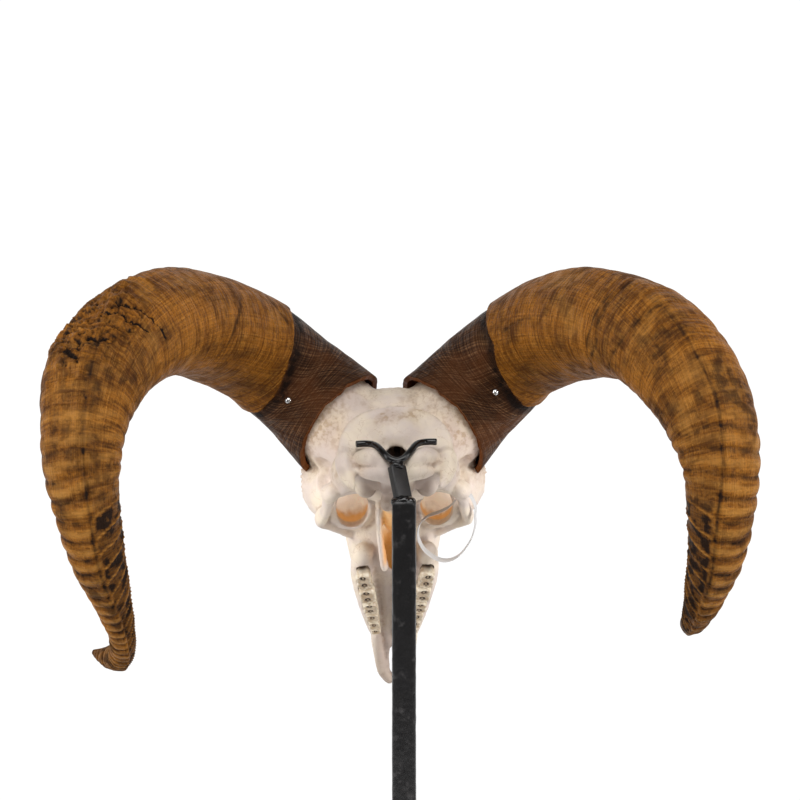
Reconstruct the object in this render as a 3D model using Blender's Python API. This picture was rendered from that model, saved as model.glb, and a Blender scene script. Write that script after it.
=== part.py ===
"""A bighorn ram's skull with its two horn sheaths, on a steel display stand.

The origin is the centre of the base plate's underside, with +Z up. The back of the skull faces -Y and the
nose points along +Y and down. Lists are in millimetres and become metres where a mesh is made.
"""

import math

import bmesh
import bpy
import numpy as np
from mathutils import Matrix, Vector

MM = 0.001

# The skull's own frame: x to its right in the view from behind, v from the neck opening to the nose, w up.
NECK_OPENING = (-5.2, 0.0, 330.0)
NOSE_DOWN_DEG = 35.0
RIGHT_SIDE_UP_DEG = 1.3
NOSE_LEFT_DEG = 1.9
SKULL_FRAME = (
    Matrix.Translation(NECK_OPENING)
    @ Matrix.Rotation(math.radians(NOSE_LEFT_DEG), 4, "Z")
    @ Matrix.Rotation(math.radians(-RIGHT_SIDE_UP_DEG), 4, "Y")
    @ Matrix.Rotation(math.radians(-NOSE_DOWN_DEG), 4, "X")
)
SIDES = (("left", -1), ("right", 1))

VOXEL = 2.0
SKULL_KEEP = 0.0335
GAP = 0.3

# Horn sheaths: wall at the mouth, how deep the hollow runs, and where the transverse ridges begin.
SHEATH_WALL = 5.0
HOLLOW_RINGS = 12
CLEARANCE = 1.6
HORN_RINGS = 78
HORN_SIDES = 12

# The transverse ridges: where they begin along the horn, how fast they grow, and their most, as shares.
RIDGES_FROM = 0.36
RIDGE_GROWTH = 0.1
RIDGE_MOST = 0.045

# A horn's cross-section: a share of its ellipse, with an edge at each angle, its height and its spread.
FLAT_SHARE = 0.965
KEEL_DEG = 8
HORN_EDGES = ((KEEL_DEG, 0.09, 15), (-112, 0.04, 26), (155, 0.05, 20))

# Cheek teeth from front to back: length along the row, then width. The row runs between two points.
TEETH = (("premolar_1", 7.0, 8.0), ("premolar_2", 9.0, 9.5), ("premolar_3", 10.0, 11.0),
         ("molar_1", 14.0, 12.5), ("molar_2", 18.0, 13.5), ("molar_3", 20.0, 12.5))
ROW_FRONT = (13.6, 198.5, -16.5)
ROW_BACK = (24.4, 120.0, -12.5)
CROWN_DOWN = 8.0
ROOT_UP = 6.0

# One tooth's outline with its two lobes, as shares of its length and width, and its size at each level.
TOOTH_OUTLINE = ((-0.5, 0.0), (-0.27, 0.5), (0.0, 0.38), (0.27, 0.5), (0.5, 0.0), (0.27, -0.47), (0.0, -0.38),
                 (-0.27, -0.47))
TOOTH_LEVELS = ((-ROOT_UP, 0.8), (0.0, 0.94), (CROWN_DOWN * 0.5, 1.0), (CROWN_DOWN, 0.86))

# Where each screw's head sits on its sheath, relative to the neck opening, and which way it points in.
SCREWS = {"left": ((-79.0, 43.7, 43.2), (0.15, 1.0, 0.2)), "right": ((71.6, 41.5, 49.1), (0.05, 1.0, 0.2))}
SCREW_HEAD = 2.4
SCREW_SHANK = 1.3
SCREW_LENGTH = 17.0
HEAD_DOME = 1.5
HEAD_UNDERSIDE = 0.9

# Stand: the plate it stands on, the square post, the flat neck, and the rod bent into a fork.
BASE_SIZE = (240.0, 240.0, 8.0)
POST_WIDTH = 17.0
POST_Y = -25.0
POST_TOP = 302.5
POST_CHAMFER = 1.2
BASE_CHAMFER = 1.5
NECK_WIDTH = 12.6
NECK_THICKNESS = 6.0
NECK_CHAMFER = 0.8
NECK_TOP = (-5.3, -18.5, 326.6)
NECK_BOTTOM = (-0.8, POST_Y, POST_TOP + 1.6)
ROD_RADIUS = 2.4
FORK_ARM = ((-34, 4, 342), (-26, 4, 342.3), (-20, -3, 341), (-14.5, -11.5, 336), (-10, -15, 332),
            (-5, -16, 330.5), (-0.5, -15, 332), (4, -11.5, 336.5), (9, -3, 342), (15, 4, 343.5),
            (23, 4, 343.6))
FORK_PRONG = ((-5, -16, 330), (-5, 4, 331), (-5, 22, 334), (-5, 40, 338))

# The tag band: its strip, the points that it is looped through, and the way that it is looked through.
TAG_WIDTH = 6.5
TAG_THICKNESS = 1.2
TAG_FACING = (0.25, 1.0, 0.45)
TAG_LOOP = ((57.5, 64, -42), (57.5, 68, -49), (54, 73, -60), (46, 77, -70.5), (37.5, 79, -74.5),
            (29, 79, -73), (20, 78, -66), (15.8, 76, -57), (17, 73, -47.5), (23, 70, -41.5),
            (31, 67, -38.5), (39, 62, -34), (46, 60, -26.5), (53, 60, -25.5), (57.5, 62, -34))

# Each horn's spine: its centre relative to the neck opening, then half its depth in the curl and across it.
LEFT_HORN = (
    (-43.5, 82, 28.6, 48, 42),
    (-77.5, 84, 58.5, 45, 40.5),
    (-104.5, 64, 81, 41, 39),
    (-130, 28, 94, 39.5, 38),
    (-155, -15, 98.5, 38, 37),
    (-177, -56, 91, 37, 36.5),
    (-196, -92, 75, 36.5, 36),
    (-208.5, -118, 52, 35, 34.5),
    (-212.3, -133, 27, 32, 30.5),
    (-212.8, -140, -1, 28.5, 27.3),
    (-208.3, -136, -34, 24.5, 23),
    (-203.4, -120, -64, 20.8, 19.4),
    (-196.3, -96, -91, 16.5, 14.8),
    (-191.5, -66, -115, 13.2, 10.8),
    (-191.5, -36, -131, 11, 10),
    (-198, -8, -139.5, 9, 8),
    (-207, 8, -140.5, 6, 5.6),
    (-217, 20, -139, 2.5, 2.5),
)
RIGHT_HORN = (
    (35, 82, 27.5, 48, 43.5),
    (66, 84, 57, 45, 41),
    (90, 64, 80.5, 41, 39),
    (115.5, 28, 94, 40, 38.5),
    (143, -15, 98, 39, 38),
    (169, -56, 91, 37, 37),
    (191, -92, 73, 36.5, 36.5),
    (207, -118, 48, 34, 34),
    (216.5, -131, 21, 31, 30.5),
    (220, -136, -6, 27.5, 27),
    (219.1, -131, -37, 24, 23),
    (216.9, -115, -66, 20.5, 19.3),
    (211.8, -92, -90, 15.6, 14.3),
    (208.1, -66, -106, 11.4, 10),
    (206.4, -42, -114, 8.5, 7.8),
)
HORNS = {"left": LEFT_HORN, "right": RIGHT_HORN}


# Meshes


def metres(points):
    return [Vector(p) * MM for p in points]


def bridge(bm, first, second):
    """Quads between two rings of the same count."""
    count = len(first)
    for i in range(count):
        j = (i + 1) % count
        bm.faces.new((first[i], first[j], second[j], second[i]))


def skin(bm, rings, closed=False):
    """A tube over rings of points, with flat ends, or joined end to end."""
    loops = [[bm.verts.new(p) for p in ring] for ring in rings]
    for first, second in zip(loops, loops[1:]):
        bridge(bm, first, second)
    if closed:
        bridge(bm, loops[-1], loops[0])
    else:
        bm.faces.new(reversed(loops[0]))
        bm.faces.new(loops[-1])


def smooth_line(stations, count):
    """Rows read evenly from a smooth curve through the stations, which may hold sizes after x, y, z."""
    rows = np.array(stations, float)
    steps = np.linalg.norm(np.diff(rows[:, :3], axis=0), axis=1)
    at = np.concatenate(([0.0], np.cumsum(steps)))
    slopes = np.gradient(rows, at, axis=0, edge_order=2 if len(rows) > 2 else 1)
    wanted = np.linspace(0.0, at[-1], count)
    piece = np.clip(np.searchsorted(at, wanted, side="right") - 1, 0, len(at) - 2)
    span = (at[piece + 1] - at[piece])[:, None]
    t = ((wanted - at[piece])[:, None]) / span
    return (
        (2 * t**3 - 3 * t**2 + 1) * rows[piece]
        + (t**3 - 2 * t**2 + t) * span * slopes[piece]
        + (3 * t**2 - 2 * t**3) * rows[piece + 1]
        + (t**3 - t**2) * span * slopes[piece + 1]
    )


def directions(points, closed=False):
    """Unit tangents of a line of points."""
    if closed:
        along = np.roll(points, -1, axis=0) - np.roll(points, 1, axis=0)
    else:
        along = np.gradient(points, axis=0)
    return along / np.linalg.norm(along, axis=1, keepdims=True)


def across(tangents, reference):
    """Unit vectors square to the tangents, nearest to a reference direction."""
    reference = np.array(reference, float)
    flat = reference - (tangents @ reference)[:, None] * tangents
    return flat / np.linalg.norm(flat, axis=1, keepdims=True)


def bar(bm, stations, side=1, sections=9, sides=12, frame=SKULL_FRAME):
    """A rounded bar through (x, v, w, half thickness sideways, half thickness upright), mirrored by side."""
    rows = smooth_line([(s[0] * side, *s[1:]) for s in stations], sections)
    centres, wide, tall = rows[:, :3], rows[:, 3], rows[:, 4]
    tangents = directions(centres)
    steep = abs(tangents[:, 2]).max() >= 0.9
    upright = across(tangents, (0, 1, 0.001) if steep else (0, 0.001, 1))
    sideways = np.cross(tangents, upright)
    rings = []
    for end, push in ((0, -0.7), (None, 0), (-1, 0.7)):
        picks = range(sections) if end is None else [end]
        for i in picks:
            shrink = 0.6 if end is not None else 1.0
            reach = push * min(wide[i], tall[i])
            ring = [
                centres[i]
                + tangents[i] * reach
                + sideways[i] * wide[i] * shrink * math.cos(a)
                + upright[i] * tall[i] * shrink * math.sin(a)
                for a in np.linspace(0, math.tau, sides, endpoint=False)
            ]
            rings.append(metres(frame @ Vector(p) for p in ring))
    skin(bm, rings)


def lump(bm, centre, radii, side=1):
    """An ellipsoid, mirrored by side."""
    centre = Vector((centre[0] * side, centre[1], centre[2]))
    shape = (
        Matrix.Scale(MM, 4)
        @ SKULL_FRAME
        @ Matrix.Translation(centre)
        @ Matrix.Diagonal((*radii, 1.0))
    )
    bmesh.ops.create_icosphere(bm, subdivisions=3, radius=1.0, matrix=shape)


def plate(bm, outline, near, far):
    """An (x, w) outline made solid from v = near to v = far."""
    rings = [
        metres(SKULL_FRAME @ Vector((x, v, w)) for x, w in outline) for v in (near, far)
    ]
    skin(bm, rings)


def shell_sections(bm, sections, steps=20):
    """A loft through (v, half width, top w, bottom w, boxiness)."""
    rings = []
    for v, half, top, bottom, power in sections:
        middle, tall = (top + bottom) / 2, (top - bottom) / 2
        ring = []
        for a in np.linspace(0, math.tau, steps, endpoint=False):
            c, s = math.cos(a), math.sin(a)
            x = half * math.copysign(abs(c) ** (2 / power), c)
            w = middle + tall * math.copysign(abs(s) ** (2 / power), s)
            ring.append(SKULL_FRAME @ Vector((x, v, w)))
        rings.append(metres(ring))
    skin(bm, rings)


def new_object(name, bm):
    """Links an object that holds a finished bmesh."""
    bmesh.ops.recalc_face_normals(bm, faces=bm.faces)
    mesh = bpy.data.meshes.new(name)
    bm.to_mesh(mesh)
    bm.free()
    thing = bpy.data.objects.new(name, mesh)
    bpy.context.scene.collection.objects.link(thing)
    return thing


def helper(thing):
    """Marks an object as a cutter or a guide."""
    thing.hide_render = True
    thing.display_type = "WIRE"
    return thing


def evaluated_mesh(thing):
    graph = bpy.context.evaluated_depsgraph_get()
    return bpy.data.meshes.new_from_object(thing.evaluated_get(graph))


def remesh(thing):
    modifier = thing.modifiers.new("fuse", "REMESH")
    modifier.mode = "VOXEL"
    modifier.voxel_size = VOXEL * MM


def boolean(thing, other, operation):
    modifier = thing.modifiers.new(operation.lower(), "BOOLEAN")
    modifier.operation = operation
    modifier.object = other


def paint(thing, name, colour, roughness, metallic=0.0):
    """Gives an object its own Principled material."""
    material = bpy.data.materials.new(name)
    material.use_nodes = True
    shader = material.node_tree.nodes["Principled BSDF"]
    shader.inputs["Base Color"].default_value = (*colour, 1.0)
    shader.inputs["Roughness"].default_value = roughness
    shader.inputs["Metallic"].default_value = metallic
    thing.data.materials.clear()
    thing.data.materials.append(material)


# Skull


def broad_bones():
    """The solid mass of the skull before its hollows are cut."""
    bm = bmesh.new()
    lump(bm, (0, 42, 31), (39, 44, 33))
    lump(bm, (0, 50, 60), (50, 33, 32))
    lump(bm, (0, 88, 52), (44, 34, 30))
    half = [(0, 51), (12, 50), (22, 47), (31, 41), (37, 33), (41, 22), (42, 10), (40, -2), (33, -5),
            (15, -10)]
    outline = half + [(-x, w) for x, w in reversed(half[1:])]
    plate(bm, outline, 4, 24)
    shell_sections(
        bm,
        (
            (80, 38, 84, 26, 2.1),
            (104, 38, 78, 10, 2.2),
            (122, 37, 71, -4, 2.3),
            (140, 35.5, 63, -11, 2.3),
            (155, 32.5, 55, -13, 2.3),
            (170, 29, 47, -14, 2.2),
            (185, 24, 38, -16, 2.2),
            (200, 19.5, 27, -20, 2.1),
            (214, 17, 12, -25, 2.1),
            (230, 14.5, -8, -30, 2.1),
            (244, 10, -24, -35, 2.1),
            (249, 4, -29, -35, 2.1),
        ),
    )
    for _, side in SIDES:
        bar(bm, ((28, 90, 40, 34, 34), (44, 93, 41, 29, 29), (54, 95, 44, 23, 22),
                 (61, 96, 46.5, 18.5, 16.5)), side)
        lump(bm, (42, 74, 58), (23, 22, 18), side)
        lump(bm, (34, 34, 12), (13, 22, 16), side)
        bar(bm, ((24, 114, -4, 8, 8), (25, 130, -8, 8, 8), (21, 165, -11, 7.5, 8),
                 (15, 202, -16, 5, 6)), side)
    for name, side in SIDES:
        horn_core(bm, name, side)
    return bm


def hollows():
    """The brain case, eye sockets, fossae, nose, throat and palate, as one cutter."""
    bm = bmesh.new()
    bar(bm, ((0, -25, 3, 9, 11), (0, 0, 1, 9, 11), (0, 22, 12, 13, 15), (0, 45, 30, 26, 24),
             (0, 66, 34, 20, 18)))
    bar(bm, ((0, 45, -16, 8, 8), (0, 80, -10, 8, 11), (0, 108, -3, 8, 11), (0, 140, 7, 12, 12),
             (0, 170, 11, 15, 15), (0, 195, 5, 14, 15), (0, 216, -1, 12.5, 16), (0, 236, -11, 10, 16),
             (0, 262, -16, 6, 16)), sections=16)
    shell_sections(
        bm,
        ((112, 16, -9, -45, 2), (150, 16, -9.5, -45, 2), (180, 13, -12.5, -45, 2), (203, 8, -18, -45, 2)),
    )
    bar(bm, ((0, 218, -26, 3, 14), (0, 230, -30, 4, 14), (0, 240, -34, 3.2, 14)), sections=5)
    for _, side in SIDES:
        bar(bm, ((20, 86, 30, 9, 9), (40, 92, 39, 15, 15), (54, 95, 44, 15.5, 14),
                 (80, 100, 50, 15.5, 14)), side)
        bar(bm, ((31, 34, -20.5, 12, 14.5), (31, 64, 1.5, 12, 15.5), (31, 86, 17.5, 12, 15.5),
                 (32, 98, 28, 11, 13)), side)
        lump(bm, (54, 58, 24), (14, 16, 17), side)
    return bm


def slender_bones():
    """Bars, rims, processes and plates that stand free of the mass, added after the hollows."""
    bm = bmesh.new()
    bar(bm, ((0, -1, -13, 13, 5), (0, 30, -9, 11, 6), (0, 60, -2, 9, 6), (0, 92, 7, 8, 7)))
    bar(bm, ((0, 150, 56, 12, 4), (0, 185, 39, 10, 3.5), (0, 205, 26, 7, 3), (0, 219, 15, 3, 2)))
    for _, side in SIDES:
        lump(bm, (17, -1, -1), (12, 9, 9), side)
        lump(bm, (9, -2, -9), (9, 8, 6.5), side)
        lump(bm, (8, 12, -14), (5, 6, 5), side)
        lump(bm, (7, 32, -14), (5, 8, 6), side)
        bar(bm, ((37, 9, 8, 7, 8), (36, 7, -6, 6, 4.5), (31.5, 4, -20, 2, 2)), side)
        lump(bm, (24, 27, -8), (9, 12, 9), side)
        bar(bm, ((26, 36, 4, 9, 5), (40, 40, 4, 8, 5), (49, 43, 2, 6, 7.5)), side, sections=5)
        bar(bm, ((46, 40, 2, 6, 7), (49, 55, 3, 4.5, 5.5), (50.5, 68, 4, 4, 5.5), (53, 82, 8.5, 4.5, 6.5),
                 (54, 94, 13, 5, 7), (46, 105, 18, 6, 7.5), (33, 117, 20, 6, 9)), side, sections=13)
        bar(bm, ((12, 56, 0, 2.4, 6), (12, 84, -1, 2.4, 8), (10, 104, -9, 2.4, 8),
                 (8, 118, -14, 3, 6)), side)
        bar(bm, ((14, 205, -21, 4, 4), (11.5, 224, -28, 3.8, 3), (8.5, 240, -33.5, 3.8, 2.6),
                 (3, 248, -35.5, 4, 2.6)), side, sections=9)
    return bm


def horn_core(bm, name, side):
    """The bony core that carries a sheath, from the brow into the sheath's hollow."""
    origin = np.array(NECK_OPENING)
    spots = [origin + np.array(row[:3], float) for row in HORNS[name][:3]]
    root = SKULL_FRAME @ Vector((16 * side, 56, 52))
    rows = [
        (*root, 38, 36),
        (*spots[0], 40, 35),
        (*(spots[0] * 0.3 + spots[1] * 0.7), 36, 32),
        (*(spots[1] * 0.75 + spots[2] * 0.25), 24, 23),
    ]
    bar(bm, rows, sections=9, sides=16, frame=Matrix.Identity(4))


def sheath_room(name, side):
    """The room that a sheath's wall takes near its mouth, with some clearance, kept free of bone."""
    centres, deep, wide, radial, axial = horn_frame(name, side, HORN_RINGS)
    mouth = centres[0] + (centres[0] - centres[1]) * 0.3
    rows = range(HOLLOW_RINGS + 5)
    centres[0] = mouth
    outer = [horn_ring(centres[i], radial[i], axial[i], deep[i] + CLEARANCE, wide[i] + CLEARANCE) for i in rows]
    inner = [horn_ring(centres[i], radial[i], axial[i], *lining_sizes(i, deep, wide, CLEARANCE))
             for i in range(HOLLOW_RINGS + 1)]
    bm = bmesh.new()
    skin(bm, [metres(ring) for ring in list(reversed(inner)) + outer])
    return bm


def row_frame(side):
    """The line of one tooth row: its front, its direction backwards, outwards and down."""
    front = SKULL_FRAME @ Vector((ROW_FRONT[0] * side, *ROW_FRONT[1:]))
    back = SKULL_FRAME @ Vector((ROW_BACK[0] * side, *ROW_BACK[1:]))
    along = (back - front).normalized()
    down = SKULL_FRAME.to_3x3() @ Vector((0, 0, -1))
    outwards = along.cross(down).normalized() * -side
    return front, along, outwards, along.cross(outwards).normalized() * side


def tooth_rings(side, start, length, width):
    """Four rings of one cheek tooth: root, neck, belly and grinding face."""
    front, along, outwards, down = row_frame(side)
    centre = front + along * (start + length / 2)
    return [
        metres(centre + along * (a * length * share) + outwards * (o * width * share) + down * depth
               for a, o in TOOTH_OUTLINE)
        for depth, share in TOOTH_LEVELS
    ]


def tooth_places():
    """Each cheek tooth's name, side, place along its row, length and width."""
    row = (Vector(ROW_BACK) - Vector(ROW_FRONT)).length
    spare = (row - sum(length for _, length, _ in TEETH)) / (len(TEETH) - 1)
    for name, side in SIDES:
        start = 0.0
        for tooth, length, width in TEETH:
            yield f"{name}_{tooth}", side, start, length, width
            start += length + spare


def socket_trough(side):
    """The trough in the jaw bone that one row of teeth stands in."""
    front, along, outwards, down = row_frame(side)
    stops = []
    for _, other, start, length, width in tooth_places():
        if other == side:
            stops += [(start, width * 0.8), (start + length / 2, width), (start + length, width * 0.8)]
    stops[0] = (stops[0][0] - GAP, stops[0][1])
    stops[-1] = (stops[-1][0] + GAP, stops[-1][1])
    stops = [stops[0]] + stops[1:-1:3] + [stops[-1]]
    bm = bmesh.new()
    rings = []
    for place, width in stops:
        half = width / 2 + GAP
        top, bottom = -ROOT_UP - GAP, 3 * CROWN_DOWN
        corners = ((-half, top), (half, top), (half, bottom), (-half, bottom))
        rings.append(metres(front + along * place + outwards * o + down * d for o, d in corners))
    skin(bm, rings)
    return bm


def build_teeth(skull):
    for name, side, start, length, width in tooth_places():
        bm = bmesh.new()
        skin(bm, tooth_rings(side, start, length, width))
        tooth = new_object(name, bm)
        paint(tooth, name, (0.72, 0.60, 0.42), 0.4)
    for name, side in SIDES:
        boolean(skull, helper(new_object(f"{name}_sockets", socket_trough(side))), "DIFFERENCE")


def build_skull():
    mass = helper(new_object("skull_mass", broad_bones()))
    remesh(mass)
    cutter = helper(new_object("skull_hollows", hollows()))
    remesh(cutter)
    boolean(mass, cutter, "DIFFERENCE")
    for name, side in SIDES:
        boolean(mass, helper(new_object(f"{name}_sheath_room", sheath_room(name, side))), "DIFFERENCE")
    bpy.context.view_layer.update()
    bm = slender_bones()
    bmesh.ops.recalc_face_normals(bm, faces=bm.faces)
    bm.from_mesh(evaluated_mesh(mass))
    skull = new_object("skull", bm)
    remesh(skull)
    even = skull.modifiers.new("soften", "SMOOTH")
    even.factor = 0.5
    even.iterations = 4
    fewer = skull.modifiers.new("fewer", "DECIMATE")
    fewer.ratio = SKULL_KEEP
    paint(skull, "bone", (0.80, 0.70, 0.58), 0.55)
    return skull


# Horns


def horn_section(angle):
    """The outline of a horn in cross-section, as a share of its ellipse: three edges with flats between."""
    share = FLAT_SHARE
    for place, height, spread in HORN_EDGES:
        away = (angle - place + 180) % 360 - 180
        share += height * math.exp(-((away / spread) ** 2))
    return share


def horn_frame(name, side, count):
    """Rows along a horn: centres, sizes, and the directions out of the curl and across it."""
    rows = smooth_line(HORNS[name], count)
    centres = rows[:, :3] + np.array(NECK_OPENING)
    tangents = directions(centres)
    axial = across(tangents, (side, 0, 0))
    radial = side * np.cross(tangents, axial)
    return centres, rows[:, 3], rows[:, 4], radial, axial


def horn_ring(centre, radial, axial, deep, wide, steps=HORN_SIDES):
    ring = []
    for k in range(steps):
        degrees = KEEL_DEG + 360 * k / steps
        a = math.radians(degrees)
        share = horn_section(degrees)
        ring.append(centre + radial * deep * share * math.cos(a) + axial * wide * share * math.sin(a))
    return ring


def lining_sizes(i, deep, wide, clearance=0.0):
    """Half sizes of a sheath's hollow at one ring: it narrows quickly near its end."""
    taper = 1 - 0.75 * (i / HOLLOW_RINGS) ** 4
    inset = SHEATH_WALL + clearance
    return (deep[i] - inset) * taper, (wide[i] - inset) * taper


def build_horn(name, side):
    centres, deep, wide, radial, axial = horn_frame(name, side, HORN_RINGS)
    rings = []
    for i in range(HORN_RINGS):
        share = i / HORN_RINGS
        ridge = 1.0
        if share > RIDGES_FROM:
            ridge += (1 if i % 2 else -1) * min(RIDGE_MOST, RIDGE_GROWTH * (share - RIDGES_FROM))
        rings.append(horn_ring(centres[i], radial[i], axial[i], deep[i] * ridge, wide[i] * ridge))
    lining = [horn_ring(centres[i], radial[i], axial[i], *lining_sizes(i, deep, wide))
              for i in range(HOLLOW_RINGS + 1)]
    bm = bmesh.new()
    skin(bm, [metres(ring) for ring in list(reversed(lining)) + rings])
    horn = new_object(f"{name}_horn_sheath", bm)
    paint(horn, f"{name}_horn", (0.27, 0.15, 0.06), 0.5)
    return horn


# Screws


def screw_mesh(name, grow=0.0):
    """A domed head and a shank, turned about the screw's line, or the hole for one."""
    seat, inwards = SCREWS[name]
    turn = Vector(inwards).to_track_quat("Z", "Y").to_matrix().to_4x4()
    place = Matrix.Translation((Vector(seat) + Vector(NECK_OPENING)) * MM) @ turn
    head, shank = SCREW_HEAD + grow, SCREW_SHANK + grow
    top, under = HEAD_DOME + grow * 3, HEAD_UNDERSIDE + grow
    profile = ((0.0, -top), (head * 0.6, -0.8 * top), (head, -0.2), (head, under), (shank, under),
               (shank, SCREW_LENGTH - 1.5), (0.0, SCREW_LENGTH + grow))
    bm = bmesh.new()
    rings = []
    for radius, depth in profile[1:-1]:
        rings.append([place @ (Vector((radius * math.cos(a), radius * math.sin(a), depth)) * MM)
                      for a in np.linspace(0, math.tau, 8, endpoint=False)])
    loops = [[bm.verts.new(p) for p in ring] for ring in rings]
    for first, second in zip(loops, loops[1:]):
        bridge(bm, first, second)
    for loop, (_, depth) in ((loops[0], profile[0]), (loops[-1], profile[-1])):
        tip = bm.verts.new(place @ (Vector((0, 0, depth)) * MM))
        for i in range(len(loop)):
            bm.faces.new((loop[i], loop[(i + 1) % len(loop)], tip))
    return bm


def build_screw(name, sheath, skull):
    screw = new_object(f"{name}_sheath_screw", screw_mesh(name))
    paint(screw, f"{name}_screw", (0.60, 0.60, 0.62), 0.25, 1.0)
    for thing in (sheath, skull):
        hole = helper(new_object(f"{thing.name}_{name}_hole", screw_mesh(name, grow=GAP)))
        boolean(thing, hole, "DIFFERENCE")


# Stand


def slab(size, bevel):
    """A block with chamfered edges, centred on the origin."""
    bm = bmesh.new()
    bmesh.ops.create_cube(bm, size=1.0, matrix=Matrix.Diagonal((*size, 1.0)) @ Matrix.Scale(MM, 4))
    bmesh.ops.bevel(bm, geom=bm.edges, offset=bevel * MM, segments=1, affect="EDGES")
    return bm


def rod_mesh(points, radius, sides=8, sections=22):
    """A round rod along a smooth curve through hand-placed points."""
    bm = bmesh.new()
    rows = smooth_line(points, sections)
    tangents = directions(rows)
    first = across(tangents, (0.1, -1, 0.2))
    second = np.cross(tangents, first)
    rings = [
        metres(c + (f * math.cos(a) + s * math.sin(a)) * radius
               for a in np.linspace(0, math.tau, sides, endpoint=False))
        for c, f, s in zip(rows, first, second)
    ]
    skin(bm, rings)
    return bm


def build_stand():
    base = new_object("stand_base", slab(BASE_SIZE, BASE_CHAMFER))
    base.location.z = BASE_SIZE[2] / 2 * MM
    foot = BASE_SIZE[2] + GAP
    post = new_object("stand_post", slab((POST_WIDTH, POST_WIDTH, POST_TOP - foot), POST_CHAMFER))
    post.location = Vector((0, POST_Y, (POST_TOP + foot) / 2)) * MM
    top, bottom = Vector(NECK_TOP), Vector(NECK_BOTTOM)
    bm = slab((NECK_WIDTH, NECK_THICKNESS, (top - bottom).length), NECK_CHAMFER)
    lean = (top - bottom).to_track_quat("Z", "X").to_matrix().to_4x4()
    lean = lean @ Matrix.Rotation(math.radians(90), 4, "Z")
    bmesh.ops.transform(bm, matrix=Matrix.Translation((top + bottom) / 2 * MM) @ lean, verts=bm.verts)
    neck = new_object("stand_neck", bm)
    fork = new_object("stand_fork", rod_mesh(FORK_ARM, ROD_RADIUS))
    prong = helper(new_object("fork_prong", rod_mesh(FORK_PRONG, ROD_RADIUS, sections=6)))
    boolean(fork, prong, "UNION")
    for thing in (base, post, neck, fork):
        paint(thing, thing.name, (0.02, 0.02, 0.02), 0.45, 1.0)


# Tag


def build_tag():
    """The band: a flat strip closed in a loop, standing on its edge along the way it is looked through."""
    points = np.array(TAG_LOOP, float) + np.array(NECK_OPENING)
    count = len(points)
    fine = []
    for i in range(count):
        p0, p1, p2, p3 = (points[(i + k) % count] for k in (-1, 0, 1, 2))
        for t in (0.0, 0.5):
            fine.append(0.5 * (2 * p1 + (p2 - p0) * t + (2 * p0 - 5 * p1 + 4 * p2 - p3) * t**2
                               + (3 * p1 - p0 - 3 * p2 + p3) * t**3))
    fine = np.array(fine)
    tangents = directions(fine, closed=True)
    facing = across(tangents, TAG_FACING)
    outwards = np.cross(tangents, facing)
    rings = []
    for c, f, o in zip(fine, facing, outwards):
        corners = ((-1, -1), (1, -1), (1, 1), (-1, 1))
        rings.append(metres(c + f * a * TAG_WIDTH / 2 + o * b * TAG_THICKNESS / 2 for a, b in corners))
    bm = bmesh.new()
    skin(bm, rings, closed=True)
    tag = new_object("tag_band", bm)
    paint(tag, "tag_band", (0.80, 0.80, 0.80), 0.4)


def main():
    for thing in list(bpy.data.objects):
        bpy.data.objects.remove(thing)
    skull = build_skull()
    build_teeth(skull)
    for name, side in SIDES:
        sheath = build_horn(name, side)
        build_screw(name, sheath, skull)
    build_stand()
    build_tag()


main()
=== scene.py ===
"""A bighorn ram's skull with both horn sheaths on its display stand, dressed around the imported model.

Lengths in the classes are millimetres, as in the part's own source. Meshes and the scene are in metres.
"""

import logging
import math
from collections.abc import Callable, Iterator, Sequence
from contextlib import contextmanager
from dataclasses import dataclass
from enum import Enum

import bpy
import numpy as np
from mathutils import Matrix, Vector, kdtree, noise


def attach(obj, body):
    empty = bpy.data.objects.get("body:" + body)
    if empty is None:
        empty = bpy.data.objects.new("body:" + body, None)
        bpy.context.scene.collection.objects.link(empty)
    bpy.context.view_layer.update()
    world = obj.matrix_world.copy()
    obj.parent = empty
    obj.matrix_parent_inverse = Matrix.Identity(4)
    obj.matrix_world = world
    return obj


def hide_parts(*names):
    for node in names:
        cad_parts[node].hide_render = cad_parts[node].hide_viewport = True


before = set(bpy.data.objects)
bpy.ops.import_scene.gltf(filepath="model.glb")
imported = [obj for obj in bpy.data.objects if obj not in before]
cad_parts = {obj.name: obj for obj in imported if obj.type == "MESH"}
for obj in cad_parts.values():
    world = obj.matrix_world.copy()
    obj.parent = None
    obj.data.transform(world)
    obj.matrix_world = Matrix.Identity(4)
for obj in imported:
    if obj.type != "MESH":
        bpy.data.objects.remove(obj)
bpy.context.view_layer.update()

log = logging.getLogger("ram_skull")

MM = 0.001
NECK_OPENING = (-5.2, 0.0, 330.0)
NOSE_DOWN_DEG = 35.0
RIGHT_SIDE_UP_DEG = 1.3
NOSE_LEFT_DEG = 1.9
SKULL_FRAME = (
    Matrix.Translation(NECK_OPENING)
    @ Matrix.Rotation(math.radians(NOSE_LEFT_DEG), 4, "Z")
    @ Matrix.Rotation(math.radians(-RIGHT_SIDE_UP_DEG), 4, "Y")
    @ Matrix.Rotation(math.radians(-NOSE_DOWN_DEG), 4, "X")
)

Piece = bpy.types.Object
Material = bpy.types.Material
Rows = Sequence[Sequence[float]]
Triple = tuple[float, float, float]
Colour = tuple[float, float, float, float]


class Side(Enum):
    """The animal's two sides, as signs of X in the view from behind."""

    LEFT = -1
    RIGHT = 1

    @property
    def word(self) -> str:
        """The side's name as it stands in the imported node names."""
        return self.name.lower()


# Lines and rings


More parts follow.
